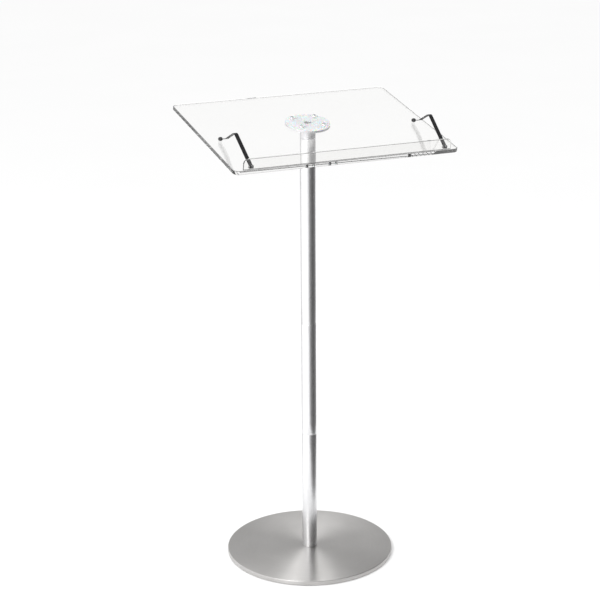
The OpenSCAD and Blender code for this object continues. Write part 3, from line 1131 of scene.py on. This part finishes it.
def grown(
    source: bpy.types.Mesh, made: PieceTree, values: dict[str, object],
    matrix: Matrix, crease: float = CREASE,
) -> bpy.types.Mesh:
    """Runs a geometry tree on a mesh and returns its plain result.

    Args:
        source: The mesh that the tree starts from.
        made: The tree, with the identifiers of its inputs.
        values: A value for each named input.
        matrix: Carries the result into the model's frame.
        crease: The angle in degrees from which an edge is shaded sharp.

    Returns:
        A plain mesh that needs no modifier.
    """
    carrier = bpy.data.objects.new(f"{source.name}_carrier", source)
    bpy.context.scene.collection.objects.link(carrier)
    modifier = carrier.modifiers.new("grow", "NODES")
    modifier.node_group = made.tree
    for label, value in values.items():
        modifier[made.inputs[label]] = value
    graph = bpy.context.evaluated_depsgraph_get()
    graph.update()
    result = bpy.data.meshes.new_from_object(carrier.evaluated_get(graph), depsgraph=graph)
    carrier.modifiers.remove(modifier)
    bpy.data.objects.remove(carrier)
    result.transform(matrix)
    tidy_mesh(result, crease)
    return result


@dataclass
class HeadAssembly:
    """What joins the tray to the pole: cast head, top bolt, gasket, screws and washers."""

    tray: TrayFrame
    screws: ScrewPattern
    bolt_clear_r: float = 5.4 * MM
    stud_r: float = 5.0 * MM
    thread_pitch: float = 1.5 * MM
    recess_r: float = 9.0 * MM
    web: float = 14.0 * MM
    neck_chamfer: float = 1.0 * MM
    fillet: float = 7.0 * MM
    rim_edge: float = 0.8 * MM
    washer_edge: float = 0.25 * MM
    hex_r: float = 4.0 * MM
    hex_depth: float = 5.0 * MM
    button_r: float = 5.28 * MM
    button_h: float = 3.3 * MM
    button_hex_r: float = 2.25 * MM
    button_hex_share: float = 0.35
    button_edge: float = 0.15 * MM
    dome_start: float = 0.25 * MM
    mouth_drop: float = 0.1 * MM
    hex_mouth: float = 1.12
    button_hex_mouth: float = 1.15
    screw_pitch: float = 1.0 * MM
    screw_end: float = 0.4 * MM
    screw_point: float = 0.5 * MM
    plain_share: float = 0.35
    bolt_end: float = 0.8 * MM
    bolt_edge: float = 0.6 * MM
    gasket_edge: float = 0.1 * MM
    gasket_bore_gap: float = 1.0 * MM
    fillet_steps: int = 8
    washer_r: float = 6.48 * MM
    washer_t: float = 1.0 * MM
    steps: int = 144

    @property
    def gasket_t(self) -> float:
        """The gasket's thickness, from how far its middle lies below the tray."""
        return -(self.tray.local(middle_and_size("tray_gasket")[0]).z + self.tray.thickness) * 2

    def under(self, offset: float, x: float, y: float) -> float:
        """Finds the height over the floor of a plane below the tray's top face.

        Args:
            offset: How far the plane lies below that face.
            x: Where the height is wanted, across.
            y: The same, towards the back.

        Returns:
            The height.
        """
        normal = self.tray.matrix.to_3x3() @ Vector((0.0, 0.0, 1.0))
        start = self.tray.at(0.0, 0.0, -offset)
        return start.z - (normal.x * (x - start.x) + normal.y * (y - start.y)) / normal.z

    def head(self) -> Shape:
        """Builds the neck and the sloping flange, with a cast fillet between them.

        Returns:
            The shape, in the model's frame.
        """
        top = self.tray.thickness + self.gasket_t
        lower = self.screw_reach()
        neck_r = middle_and_size("upper_tube")[1].x / 2
        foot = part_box("tray_head")[0][2]
        span = middle_and_size("tray_gasket")[1].x / 2
        shape = Shape()
        angles = [2 * math.pi * i / self.steps for i in range(self.steps)]
        round_about = [(math.cos(a), math.sin(a)) for a in angles]

        def level(radius: float, height: float) -> list[int]:
            """Adds a level ring about the pole's axis."""
            return shape.ring([(radius * c, radius * s, height) for c, s in round_about])

        def sloping(radius: float, offset: float) -> list[int]:
            """Adds a ring about the flange's own middle, offset below the tray's top."""
            return shape.ring([
                self.tray.at(radius * c, self.screws.centre_y + radius * s, -offset) for c, s in round_about
            ])

        def upright(radius: float, offset: float) -> list[int]:
            """Adds a ring about the pole's axis that ends on a sloping plane."""
            return shape.ring([
                (radius * c, radius * s, self.under(offset, radius * c, radius * s)) for c, s in round_about
            ])

        rings = [level(neck_r - self.neck_chamfer, foot), level(neck_r, foot + self.neck_chamfer)]
        bottom = [level(self.bolt_clear_r, foot)]
        rings.append(upright(neck_r, lower + self.fillet))
        for i in range(1, self.fillet_steps + 1):
            t = i / self.fillet_steps
            ring = []
            for c, s in round_about:
                x, y, far = neck_r * c, neck_r * s, neck_r + self.fillet
                low = Vector((x, y, self.under(lower + self.fillet, x, y)))
                corner = Vector((x, y, self.under(lower, x, y)))
                out = Vector((far * c, far * s, self.under(lower, far * c, far * s)))
                ring.append(low * (1 - t) ** 2 + corner * 2 * t * (1 - t) + out * t**2)
            rings.append(shape.ring(ring))
        shape.loft(rings)
        shape.bridge(bottom[0], rings[0])
        well = [level(self.bolt_clear_r, foot + self.web), level(self.recess_r, foot + self.web)]
        mouth = upright(self.recess_r, top)
        shape.loft([mouth, well[1], well[0], bottom[0]])
        rim = [sloping(span - self.rim_edge, lower), sloping(span, lower - self.rim_edge)]
        rim += [sloping(span, top + self.rim_edge / 2), sloping(span - self.rim_edge / 2, top)]
        shape.loft(rim)
        low_holes, high_holes = [], []
        for loop in self.screws.holes(self.screws.screw_r):
            low_holes.append(shape.ring([self.tray.at(x, y, -lower) for x, y in loop]))
            high_holes.append(shape.ring([self.tray.at(x, y, -top) for x, y in loop]))
            shape.bridge(high_holes[-1], low_holes[-1])
        shape.cap([rim[0], rings[-1], *low_holes], self.flat, turn_over=True)
        shape.cap([rim[-1], mouth, *high_holes], self.flat, turn_over=False)
        return shape

    def flat(self, point: Vector) -> Vector:
        """Returns a point's place in the tray's plane."""
        local = self.tray.local(point)
        return Vector((local.x, local.y, 0.0))

    def gasket(self) -> Shape:
        """Cuts the gasket with its screw holes and softened edges.

        Returns:
            The shape, in the model's frame.
        """
        outer = middle_and_size("tray_gasket")[1].x / 2

        def loops(inset: float) -> list[Loop]:
            """Gives the gasket's outline and holes."""
            centre = (0.0, self.screws.centre_y)
            bore = circle(centre, self.recess_r + self.gasket_bore_gap + inset, 64)
            holes = self.screws.holes(self.screws.screw_r + self.screws.clearance + inset)
            return [circle(centre, outer - inset, self.steps), bore, *holes]

        lift = Matrix.Translation((0.0, 0.0, -self.tray.thickness - self.gasket_t))
        plate = Shape().plate(loops, self.gasket_t - CONTACT_GAP, self.gasket_edge)
        return plate.placed(self.tray.matrix @ lift)

    def bolt(self) -> Shape:
        """Turns the socket-head bolt, threaded below the head's web.

        Returns:
            The shape, in the model's frame.
        """
        low, high = (corner[2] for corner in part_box("head_bolt"))
        head_r = middle_and_size("head_bolt")[1].x / 2
        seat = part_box("head_washer")[1][2]
        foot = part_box("tray_head")[0][2]
        end, edge = self.bolt_end, self.bolt_edge
        thread = Thread(self.stud_r, self.thread_pitch, low + end, foot)
        floor = high - self.hex_depth
        profile = [Station(0.0, low), Station(self.stud_r - end, low), *thread.rows()]
        profile += [Station(self.stud_r, seat), Station(head_r - edge / 2, seat)]
        profile += [Station(head_r, seat + edge / 2), Station(head_r, high - edge)]
        profile += [Station(head_r - edge, high), Station(self.hex_r * self.hex_mouth, high)]
        profile.append(Station(self.hex_r, high - edge / 2, 6))
        profile += [Station(self.hex_r, floor, 6), Station(0.0, floor - edge)]
        return Shape().turn(profile, steps=96, relief=thread.relief)

    def lock_washer(self) -> Shape:
        """Turns the washer under the top bolt with broken edges.

        Returns:
            The shape, in the model's frame.
        """
        low, high, outer = turned_size("head_washer")
        edge = self.washer_edge
        profile = [Station(self.bolt_clear_r, low), Station(outer - edge, low), Station(outer, low + edge)]
        profile += [Station(outer, high - edge), Station(outer - edge, high)]
        profile.append(Station(self.bolt_clear_r, high))
        return Shape().turn(profile, steps=96, closed=True)

    def button_screw(self) -> Shape:
        """Turns one button-head screw; height 0 is the tray's top face.

        Returns:
            The shape, about its own axis.
        """
        reach, seat, screw_r = self.screw_reach(), self.washer_t, self.screws.screw_r
        dome_r = (self.button_r**2 + self.button_h**2) / (2 * self.button_h)
        centre = seat + self.button_h - dome_r
        thread = Thread(screw_r, self.screw_pitch, self.screw_end - reach, -reach * self.plain_share)
        profile = [Station(0.0, -reach), Station(screw_r - self.screw_point, -reach), *thread.rows()]
        profile += [Station(screw_r, seat), Station(self.button_r - self.button_edge, seat)]
        start = math.asin((seat + self.dome_start - centre) / dome_r)
        stop = math.acos(self.button_hex_r * self.button_hex_mouth / dome_r)
        for i in range(9):
            angle = start + (stop - start) * i / 8
            profile.append(Station(dome_r * math.cos(angle), centre + dome_r * math.sin(angle)))
        mouth = centre + dome_r * math.sin(stop) - self.mouth_drop
        floor = seat + self.button_h * self.button_hex_share
        profile += [Station(self.button_hex_r, mouth, 6), Station(self.button_hex_r, floor, 6)]
        profile.append(Station(0.0, floor))
        return Shape().turn(profile, steps=48, relief=thread.relief)

    def screw_reach(self) -> float:
        """Works out how far the screws reach below the tray's top face; they end flush with the flange.

        Returns:
            The reach.
        """
        y = self.screws.centre_y - self.screws.circle_r * math.sin(math.pi / self.screws.count)
        edge = self.tray.at(0.0, y - self.screws.screw_r, 0.0).z
        return (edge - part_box("tray_screws")[0][2]) / math.cos(self.tray.tilt)

    def screw_washer(self) -> Shape:
        """Turns one nylon washer with broken edges; height 0 is the tray's top face.

        Returns:
            The shape, about its own axis.
        """
        edge = self.washer_edge
        bore = self.screws.screw_r + self.screws.clearance
        outer, high = self.washer_r, self.washer_t
        profile = [Station(bore + edge, CONTACT_GAP), Station(outer - edge, CONTACT_GAP)]
        profile += [Station(outer, edge), Station(outer, high - edge), Station(outer - edge, high)]
        profile += [Station(bore + edge, high), Station(bore, high - edge), Station(bore, edge)]
        return Shape().turn(profile, steps=64, closed=True)

    def build(self, shop: Workshop) -> None:
        """Hands in the head's pieces; the screws and washers are set out by one geometry tree.

        Args:
            shop: Takes the pieces.
        """
        shop.make("tray_head_cast", self.head(), Body.STAND, "tray_head")
        shop.make("head_bolt_threaded", self.bolt(), Body.STAND, "head_bolt")
        shop.make("head_washer_turned", self.lock_washer(), Body.STAND, "head_washer")
        shop.make("tray_gasket_soft", self.gasket(), Body.STAND, "tray_gasket")
        ring = RingOfCopies("ring_of_copies")
        middle = self.tray.matrix @ Matrix.Translation((0.0, self.screws.centre_y, 0.0))
        rows = (
            ("tray_screws_turned", self.button_screw(), "tray_screws", Slot.SCREW),
            ("tray_washers_moulded", self.screw_washer(), "tray_washers", Slot.NYLON),
        )
        for name, shape, node, slot in rows:
            values = {
                "Count": self.screws.count,
                "Circle Radius": self.screws.circle_r,
                "First Angle": math.pi / self.screws.count,
                "Finish": shop.materials[slot],
            }
            mesh = grown(shape.mesh(f"{name}_one"), ring, values, middle)
            shop.hand_in(name, mesh, Body.STAND, node)


@dataclass
class TrayAssembly:
    """The clear tray and the strip bonded along its front."""

    tray: TrayFrame
    screws: ScrewPattern
    corner_r: float = 15.0 * MM
    arris: float = 1.1 * MM
    lip_inset: float = 2.0 * MM
    lip_t: float = 5.0 * MM
    lip_h: float = 28.0 * MM
    lip_corner_r: float = 13.0 * MM
    lip_arris: float = 0.8 * MM

    def panel(self) -> Shape:
        """Cuts the tray's sheet with polished edges and its screw holes.

        Returns:
            The shape, in the model's frame.
        """

        def loops(inset: float) -> list[Loop]:
            """Gives the sheet's outline and holes."""
            outline = rounded_outline(self.tray.width, self.tray.depth, self.corner_r, self.corner_r, inset)
            return [outline, *self.screws.holes(self.screws.screw_r + self.screws.clearance + inset / 2)]

        down = Matrix.Translation((0.0, 0.0, -self.tray.thickness))
        return Shape().plate(loops, self.tray.thickness, self.arris).placed(self.tray.matrix @ down)

    def lip(self) -> Shape:
        """Cuts the front lip, on edge, with rounded top corners.

        Returns:
            The shape, in the model's frame.
        """
        width = middle_and_size("front_lip")[1].x

        def loops(inset: float) -> list[Loop]:
            """Gives the lip's outline, seen from the front."""
            return [rounded_outline(width, self.lip_h - CONTACT_GAP, 0.0, self.lip_corner_r, inset)]

        foot = (0.0, self.lip_inset + self.lip_t, CONTACT_GAP)
        stand = Matrix.Translation(foot) @ Matrix.Rotation(math.pi / 2, 4, "X")
        return Shape().plate(loops, self.lip_t, self.lip_arris).placed(self.tray.matrix @ stand)

    def build(self, shop: Workshop) -> None:
        """Hands in the tray's sheet and lip."""
        shop.make("tray_panel_polished", self.panel(), Body.STAND, "tray_panel", POLISHED_CREASE)
        shop.make("front_lip_polished", self.lip(), Body.STAND, "front_lip", POLISHED_CREASE)


@dataclass
class PageClip:
    """One sprung page clip: saddle, pin, torsion spring, bent strip and soft tip.

    Its frame has x along the pin, y back along the tray and z off the tray's face,
    with the pin's middle at the origin.
    """

    side: Side
    tray: TrayFrame
    pin_h: float = 4.0 * MM
    pin_r: float = 1.25 * MM
    pin_play: float = 0.05 * MM
    side_play: float = 0.25 * MM
    ear_t: float = 1.0 * MM
    ear_r: float = 3.0 * MM
    floor_t: float = 0.8 * MM
    strip_w: float = 10.3 * MM
    strip_t: float = 1.2 * MM
    strip_edge: float = 0.35 * MM
    crest: Point = (93.5 * MM, 54.3 * MM)
    knee: Point = (141.5 * MM, 19.7 * MM)
    neck_angle: float = math.radians(21.5)
    crest_r: float = 12.0 * MM
    knee_r: float = 12.0 * MM
    tongue_w: float = 5.0 * MM
    tip_r: float = 5.0 * MM
    tip_len: float = 14.0 * MM
    tip_gap: float = 0.3 * MM
    wire_r: float = 0.3 * MM
    coil_play: float = 0.2 * MM
    turns: int = 3
    wire_sides: int = 14
    strip_leg: float = 9.0 * MM
    shoulder: float = 0.4 * MM
    tongue_run: float = 0.5 * MM
    eye_edge: float = 0.2 * MM
    pin_edge: float = 0.25 * MM
    waist: float = 0.35 * MM
    waist_depth: float = 0.18 * MM
    saddle_edge: float = 0.12 * MM
    bend_steps: int = 16

    def node(self, part: str) -> str:
        """Returns the CAD name of one of this clip's parts."""
        return f"clip_{part}_{self.side.value}"

    @property
    def matrix(self) -> Matrix:
        """The clip's frame, read from its hinge."""
        hinge = next(j for j in frame["joints"] if j["child"] == self.side.body.value)
        across = Vector(hinge["axis"]).normalized()
        off = self.tray.matrix.to_3x3() @ Vector((0.0, 0.0, 1.0))
        back = off.cross(across).normalized()
        turned = Matrix((across, back, across.cross(back))).transposed().to_4x4()
        return Matrix.Translation(hinge["pos_m"]) @ turned

    @property
    def neck(self) -> Vector:
        """The direction in which the strip's neck runs down to the tip."""
        return Vector((math.cos(self.neck_angle), -math.sin(self.neck_angle)))

    @property
    def tip_middle(self) -> Vector:
        """The tip's middle in the clip's side view."""
        straight = self.tip_len / 2 - self.tip_r
        height = self.tip_r + self.tip_gap + straight * math.sin(self.neck_angle)
        knee = Vector(self.knee)
        middle = knee + self.neck * (knee.y - height) / math.sin(self.neck_angle)
        return middle - Vector((0.0, self.pin_h))

    @property
    def rise(self) -> float:
        """The angle at which the strip leaves the pin."""
        return math.atan2(self.crest[1] - self.pin_h, self.crest[0])

    def knuckle_sides(self) -> tuple[float, float]:
        """Returns the knuckle's two ends along the pin, beside the ears and the spring."""
        inside = self.strip_w / 2 - self.ear_t
        spring = (self.turns + 2) * 2 * self.wire_r
        return -inside + self.side_play, inside - 2 * self.side_play - spring

    def line(self) -> list[tuple[Vector, Vector]]:
        """Draws the strip's middle line in side view.

        Returns:
            The points from the pin to the tip, each with its upward normal.
        """
        drop = Vector((0.0, self.pin_h))
        pin, crest, knee = Vector((0.0, 0.0)), Vector(self.crest) - drop, Vector(self.knee) - drop
        tip = self.tip_middle
        first = (crest - pin).normalized()
        points = [(first * self.pin_r * 1.6, Vector((-first.y, first.x)))]
        points.append((first * (self.ear_r + self.side_play), Vector((-first.y, first.x))))
        points += self.bend(pin, crest, knee, self.crest_r)
        points += self.bend(crest, knee, tip, self.knee_r)
        normal = Vector((-self.neck.y, self.neck.x))
        points.append((tip - self.neck * (self.tip_len / 2 + self.tip_gap), normal))
        points.append((tip + self.neck * self.tip_len / 4, normal))
        return points

    def bend(
        self, before: Vector, corner: Vector, after: Vector, radius: float,
    ) -> list[tuple[Vector, Vector]]:
        """Returns a rounded corner's points and normals.

        Args:
            before: A point on the leg that comes in.
            corner: Where the two legs would meet.
            after: A point on the leg that goes out.
            radius: The bend's radius on the middle line.

        Returns:
            The points from one leg to the other, each with its left normal.
        """
        inward, outward = (corner - before).normalized(), (after - corner).normalized()
        turn = math.atan2(inward.x * outward.y - inward.y * outward.x, inward.dot(outward))
        side = math.copysign(1.0, turn)
        left = Vector((-inward.y, inward.x))
        centre = corner - inward * radius * math.tan(abs(turn) / 2) + left * side * radius
        points = []
        for i in range(self.bend_steps + 1):
            normal = Matrix.Rotation(turn * i / self.bend_steps, 2) @ left
            points.append((centre - normal * side * radius, normal))
        return points

    def strip(self) -> Shape:
        """Builds the bent strip with rounded edges, its knuckle and its tongue.

        Returns:
            The shape, in the clip's frame.
        """
        shape = Shape()
        left, right = self.knuckle_sides()
        half, tongue = self.strip_w / 2, self.tongue_w / 2
        line = self.line()
        stations = []
        for i, (point, normal) in enumerate(line):
            if i == 0:
                stations.append((point, normal, left, right))
            elif i == 1:
                stations.append((point, normal, left, right))
                stations.append((self.ahead(line, i, self.shoulder), normal, -half, half))
            elif i == len(line) - 2:
                stations.append((self.ahead(line, i, -self.tongue_run), normal, -half, half))
                stations.append((point, normal, -tongue, tongue))
            elif i == len(line) - 1:
                stations.append((point, normal, -tongue, tongue))
            else:
                stations.append((point, normal, -half, half))
        rings = [self.section(shape, *station) for station in stations]
        shape.loft(rings)
        shape.faces += [tuple(reversed(rings[0])), tuple(rings[-1])]
        return shape.joined(self.knuckle(left, right))

    def ahead(self, line: list[tuple[Vector, Vector]], i: int, distance: float) -> Vector:
        """Returns a point some way along the strip from its point i."""
        point, normal = line[i]
        return point + Vector((normal.y, -normal.x)) * distance

    def section(self, shape: Shape, point: Vector, normal: Vector, left: float, right: float) -> list[int]:
        """Adds the strip's cross-section at one point.

        Args:
            shape: The shape that it is added to.
            point: The point, in side view.
            normal: The strip's upward normal there.
            left: The section's left edge along the pin.
            right: Its right edge.

        Returns:
            The ring's point numbers.
        """
        edge, half = self.strip_edge, self.strip_t / 2
        loop: Loop = []
        corners = (
            (right - edge, -half + edge, -90), (right - edge, half - edge, 0),
            (left + edge, half - edge, 90), (left + edge, -half + edge, 180),
        )
        for x, y, start in corners:
            loop += arc((x, y), edge, start, start + 90, 4)
        return shape.ring([(x, point.x + normal.x * n, point.y + normal.y * n) for x, n in loop])

    def knuckle(self, left: float, right: float) -> Shape:
        """Turns the strip's rolled eye round the pin.

        Args:
            left: The eye's left end along the pin.
            right: Its right end.

        Returns:
            The shape, in the clip's frame.
        """
        bore = self.pin_r + self.pin_play
        outer = bore + self.strip_t
        edge = self.eye_edge
        profile = [Station(bore, left), Station(outer - edge, left), Station(outer, left + edge)]
        profile += [Station(outer, right - edge), Station(outer - edge, right), Station(bore, right)]
        return Shape().turn(profile, steps=64, closed=True).placed(self.along_pin())

    def along_pin(self) -> Matrix:
        """Returns the turn that lays the Z axis along the pin."""
        return Matrix.Rotation(math.pi / 2, 4, "Y")

    def pin(self) -> Shape:
        """Turns the hinge pin with peened ends.

        Returns:
            The shape, in the clip's frame.
        """
        half, edge = self.strip_w / 2, self.pin_edge
        profile = [Station(0.0, -half), Station(self.pin_r - edge, -half), Station(self.pin_r, -half + edge)]
        profile += [Station(self.pin_r, half - edge), Station(self.pin_r - edge, half), Station(0.0, half)]
        return Shape().turn(profile, steps=48).placed(self.along_pin())

    def tip(self) -> Shape:
        """Turns the soft tip, with round ends and a moulded waist line.

        Returns:
            The shape, in the clip's frame.
        """
        straight = self.tip_len / 2 - self.tip_r
        line, depth = self.waist, self.waist_depth
        profile = [Station(r, z - straight) for r, z in arc((0.0, 0.0), self.tip_r, -90, 0, 20)]
        profile += [Station(self.tip_r, -line), Station(self.tip_r - depth, 0.0), Station(self.tip_r, line)]
        profile += [Station(r, z + straight) for r, z in arc((0.0, 0.0), self.tip_r, 0, 90, 20)]
        profile[0] = Station(0.0, profile[0].height)
        profile[-1] = Station(0.0, profile[-1].height)
        middle = self.tip_middle
        lean = Vector((0.0, self.neck.x, self.neck.y)).to_track_quat("Z", "X").to_matrix().to_4x4()
        return Shape().turn(profile, steps=64).placed(Matrix.Translation((0.0, middle.x, middle.y)) @ lean)

    def saddle(self) -> bpy.types.Mesh:
        """Copies the saddle's CAD shape, merges it and breaks its edges.

        Returns:
            The mesh, in the model's frame.
        """
        mesh = frame["nodes"][self.node("saddle")].data.copy()
        work = bmesh.new()
        work.from_mesh(mesh)
        bmesh.ops.remove_doubles(work, verts=work.verts, dist=0.001 * MM)
        bmesh.ops.dissolve_limit(work, angle_limit=math.radians(1.0), verts=work.verts, edges=work.edges)
        least = math.radians(FOLDED_CREASE)
        sharp = [e for e in work.edges if len(e.link_faces) == 2 and e.calc_face_angle() > least]
        bmesh.ops.bevel(
            work, geom=sharp, offset=self.saddle_edge, segments=2, profile=0.5,
            affect="EDGES", clamp_overlap=True,
        )
        work.to_mesh(mesh)
        work.free()
        tidy_mesh(mesh, FOLDED_CREASE)
        return mesh

    def spring_line(self) -> bpy.types.Mesh:
        """Draws the torsion spring's middle line: a short front leg, the coil and a leg along the strip.

        Returns:
            A mesh of edges, in the clip's frame.
        """
        coil_r = self.pin_r + self.coil_play + self.wire_r
        pitch = 2 * self.wire_r * 1.05
        start = math.radians(150.0)
        stop = math.pi / 2 + self.rise - 2 * math.pi * self.turns
        travel = (start - stop) / (2 * math.pi) * pitch
        first_x = self.strip_w / 2 - self.ear_t - self.side_play - self.wire_r - travel
        sweep = self.pin_h - self.floor_t - self.side_play - 2 * self.wire_r
        front_leg = math.sqrt(sweep**2 - coil_r**2)

        def wire(angle: float, x: float, leg: float) -> tuple[float, float, float]:
            """Gives a point of the wire at an angle about the pin, or out along a leg."""
            return (
                x,
                coil_r * math.cos(angle) + leg * math.sin(angle),
                coil_r * math.sin(angle) - leg * math.cos(angle),
            )

        steps = math.ceil((start - stop) / (2 * math.pi) * 40)
        points = [wire(start, first_x, -front_leg)]
        for i in range(steps + 1):
            part = i / steps
            points.append(wire(start + (stop - start) * part, first_x + travel * part, 0.0))
        points.append(wire(stop, first_x + travel, self.strip_leg))
        mesh = bpy.data.meshes.new(self.node("spring_line"))
        mesh.from_pydata(points, [(i, i + 1) for i in range(len(points) - 1)], [])
        return mesh

    def build(self, shop: Workshop, sweep: WireSweep) -> None:
        """Hands in the clip's pieces on the bodies that they ride on.

        Args:
            shop: Takes the pieces.
            sweep: The tree that winds the spring.
        """
        side, matrix = self.side.value, self.matrix
        moving, still = self.side.body, Body.STAND
        strip, tip, pin = (shape.placed(matrix) for shape in (self.strip(), self.tip(), self.pin()))
        shop.make(f"clip_strip_bent_{side}", strip, moving, self.node("strip"), BENT_CREASE)
        shop.make(f"clip_tip_soft_{side}", tip, moving, self.node("tip"), BENT_CREASE)
        values = {"Wire Radius": self.wire_r, "Sides": self.wire_sides, "Finish": shop.materials[Slot.WIRE]}
        spring = grown(self.spring_line(), sweep, values, matrix, WIRE_CREASE)
        shop.hand_in(f"clip_spring_wound_{side}", spring, moving, self.node("spring"))
        shop.make(f"clip_pin_peened_{side}", pin, still, self.node("pin"))
        shop.hand_in(f"clip_saddle_folded_{side}", self.saddle(), still, self.node("saddle"))


# --------------------------------------------------------------------- studio


def rectangle(name: str, half_w: float, half_h: float) -> bpy.types.Mesh:
    """Makes a flat rectangle about the origin.

    Args:
        name: The mesh's name.
        half_w: Half its width.
        half_h: Half its height.

    Returns:
        The mesh.
    """
    corners = [(-half_w, -half_h, 0.0), (half_w, -half_h, 0.0), (half_w, half_h, 0.0), (-half_w, half_h, 0.0)]
    mesh = bpy.data.meshes.new(name)
    mesh.from_pydata(corners, [], [(0, 1, 2, 3)])
    return mesh


def aimed(place: Vector, direction: Vector) -> Matrix:
    """Returns the matrix of a thing at a place, its Z axis along a direction."""
    return Matrix.Translation(place) @ direction.to_track_quat("Z", "Y").to_matrix().to_4x4()


@dataclass
class Studio:
    """A pale floor, soft white light, reflection cards and the camera."""

    yaw: float = math.radians(22.84)
    pitch: float = math.radians(17.749)
    roll: float = math.radians(-0.397)
    lens_mm: float = 104.783
    sensor_mm: float = 36.0
    aim_height: float = 0.7205
    distance: float = 4.60365
    sideways: float = -0.022294
    floor_half: float = 40.0
    bounces: int = 48
    mirror_bounces: int = 14

    def camera(self) -> None:
        """Sets the camera up in front of the tray, to the reader's left and above it."""
        level = math.cos(self.pitch)
        ahead = Vector((math.sin(self.yaw) * level, math.cos(self.yaw) * level, -math.sin(self.pitch)))
        across = Vector((math.cos(self.yaw), -math.sin(self.yaw), 0.0))
        above = across.cross(ahead)
        right = across * math.cos(self.roll) + above * math.sin(self.roll)
        up = above * math.cos(self.roll) - across * math.sin(self.roll)
        place = Vector((0.0, 0.0, self.aim_height)) - ahead * self.distance + right * self.sideways
        data = bpy.data.cameras.new("studio_camera")
        data.lens = self.lens_mm
        data.sensor_width = self.sensor_mm
        data.clip_end = 100.0
        camera = bpy.data.objects.new("studio_camera", data)
        camera.matrix_world = Matrix.Translation(place) @ Matrix((right, up, -ahead)).transposed().to_4x4()
        bpy.context.scene.collection.objects.link(camera)
        bpy.context.scene.camera = camera

    def floor(self) -> None:
        """Lays the pale floor."""
        mesh = rectangle("studio_floor", self.floor_half, self.floor_half)
        material = bpy.data.materials.new("studio_floor")
        material.use_nodes = True
        wires = Wiring(material.node_tree)
        tone = wires.shades(wires.noise(wires.place(), 1.5), (0.955, 0.955, 0.955), (0.965, 0.965, 0.965))
        paper = wires.add("ShaderNodeBsdfDiffuse", {"Color": tone}).outputs[0]
        wires.add("ShaderNodeOutputMaterial", {"Surface": paper})
        mesh.materials.append(material)
        floor = bpy.data.objects.new("studio_floor", mesh)
        bpy.context.scene.collection.objects.link(floor)

    def sky(self) -> None:
        """Surrounds the studio with even white light."""
        world = bpy.data.worlds.new("studio_sky")
        world.use_nodes = True
        wires = Wiring(world.node_tree)
        glow = wires.add("ShaderNodeBackground", {"Color": (1.0, 1.0, 1.0, 1.0), "Strength": 1.0}).outputs[0]
        wires.add("ShaderNodeOutputWorld", {"Surface": glow})
        bpy.context.scene.world = world

    def card(self, name: str, middle: Vector, facing: Vector, size: Point, glows: Sequence[float]) -> None:
        """Stands a card that shows only in reflections.

        Args:
            name: The card's name.
            middle: Where its middle is.
            facing: The point that it looks at.
            size: Its width and height.
            glows: Its brightness, in even steps from one side to the other; 0 is black.
        """
        mesh = rectangle(name, size[0] / 2, size[1] / 2)
        material = bpy.data.materials.new(name)
        material.use_nodes = True
        wires = Wiring(material.node_tree)
        across = wires.add("ShaderNodeSeparateXYZ", {0: wires.place()}).outputs[0]
        ramp = wires.add("ShaderNodeValToRGB", {"Fac": wires.sum("MULTIPLY_ADD", across, 1.0 / size[0], 0.5)})
        stops = ramp.color_ramp.elements
        for i, glow in enumerate(glows[1:-1], 1):
            stops.new(i / (len(glows) - 1))
        power = max(glows)
        for stop, glow in zip(stops, glows):
            stop.color = (glow / power, glow / power, glow / power, 1.0)
        lit = wires.add("ShaderNodeEmission", {"Color": ramp.outputs[0], "Strength": power}).outputs[0]
        wires.add("ShaderNodeOutputMaterial", {"Surface": lit})
        mesh.materials.append(material)
        card = bpy.data.objects.new(name, mesh)
        card.matrix_world = aimed(middle, facing - middle)
        card.visible_camera = card.visible_diffuse = False
        card.visible_shadow = card.visible_transmission = False
        bpy.context.scene.collection.objects.link(card)

    def lamp(self, name: str, place: Vector, target: Vector, size: float, power: float) -> None:
        """Hangs a soft square lamp.

        Args:
            name: The lamp's name.
            place: Where it hangs.
            target: The point that it shines at.
            size: The length of its side.
            power: Its power in watts.
        """
        data = bpy.data.lights.new(name, "AREA")
        data.size = size
        data.energy = power
        lamp = bpy.data.objects.new(name, data)
        lamp.matrix_world = aimed(place, place - target)
        bpy.context.scene.collection.objects.link(lamp)

    def build(self) -> None:
        """Sets the whole studio up."""
        scene = bpy.context.scene
        scene.view_settings.view_transform = "Standard"
        scene.cycles.max_bounces = scene.cycles.transmission_bounces = self.bounces
        scene.cycles.glossy_bounces = self.mirror_bounces
        self.camera()
        self.floor()
        self.sky()
        waist = Vector((0.0, 0.0, 0.9))
        middle = Vector((0.0, 0.0, 0.60))
        foot = Vector((0.0, 0.0, 0.0))
        beside = (1.7, 1.16)
        dark_band = (0.36, 0.34, 0.26, 0.11, 0.24, 0.55, 0.95)
        bright_band = (1.0, 1.5, 1.6, 1.5, 1.2, 0.5, 0.3)
        self.card("graded_right", Vector((0.26, -0.21, 0.60)), middle, beside, dark_band)
        self.card("white_left", Vector((-0.33, 0.05, 0.60)), middle, beside, bright_band)
        self.card("low_flare", Vector((0.13, 0.30, 0.46)), foot, (0.20, 0.20), (3.2, 3.2))
        self.card("grey_back", Vector((1.2, 3.0, 1.4)), waist, (6.0, 2.6), (0.62, 0.62))
        self.lamp("key_left", Vector((-2.4, -1.6, 3.0)), waist, 1.6, 60.0)


def main() -> None:
    """Builds the studio and each sub-assembly, in the order in which they go together."""
    logging.basicConfig(level=logging.INFO, format="%(message)s")
    Studio().build()
    shop = Workshop()
    BaseAssembly().build(shop)
    PoleAssembly().build(shop)
    tray = TrayFrame.measured()
    screws = ScrewPattern(centre_y=tray.local(middle_and_size("tray_gasket")[0]).y)
    HeadAssembly(tray, screws).build(shop)
    TrayAssembly(tray, screws).build(shop)
    sweep = WireSweep("wire_sweep")
    for side in Side:
        PageClip(side, tray).build(shop, sweep)


if __name__ == "__main__":
    main()
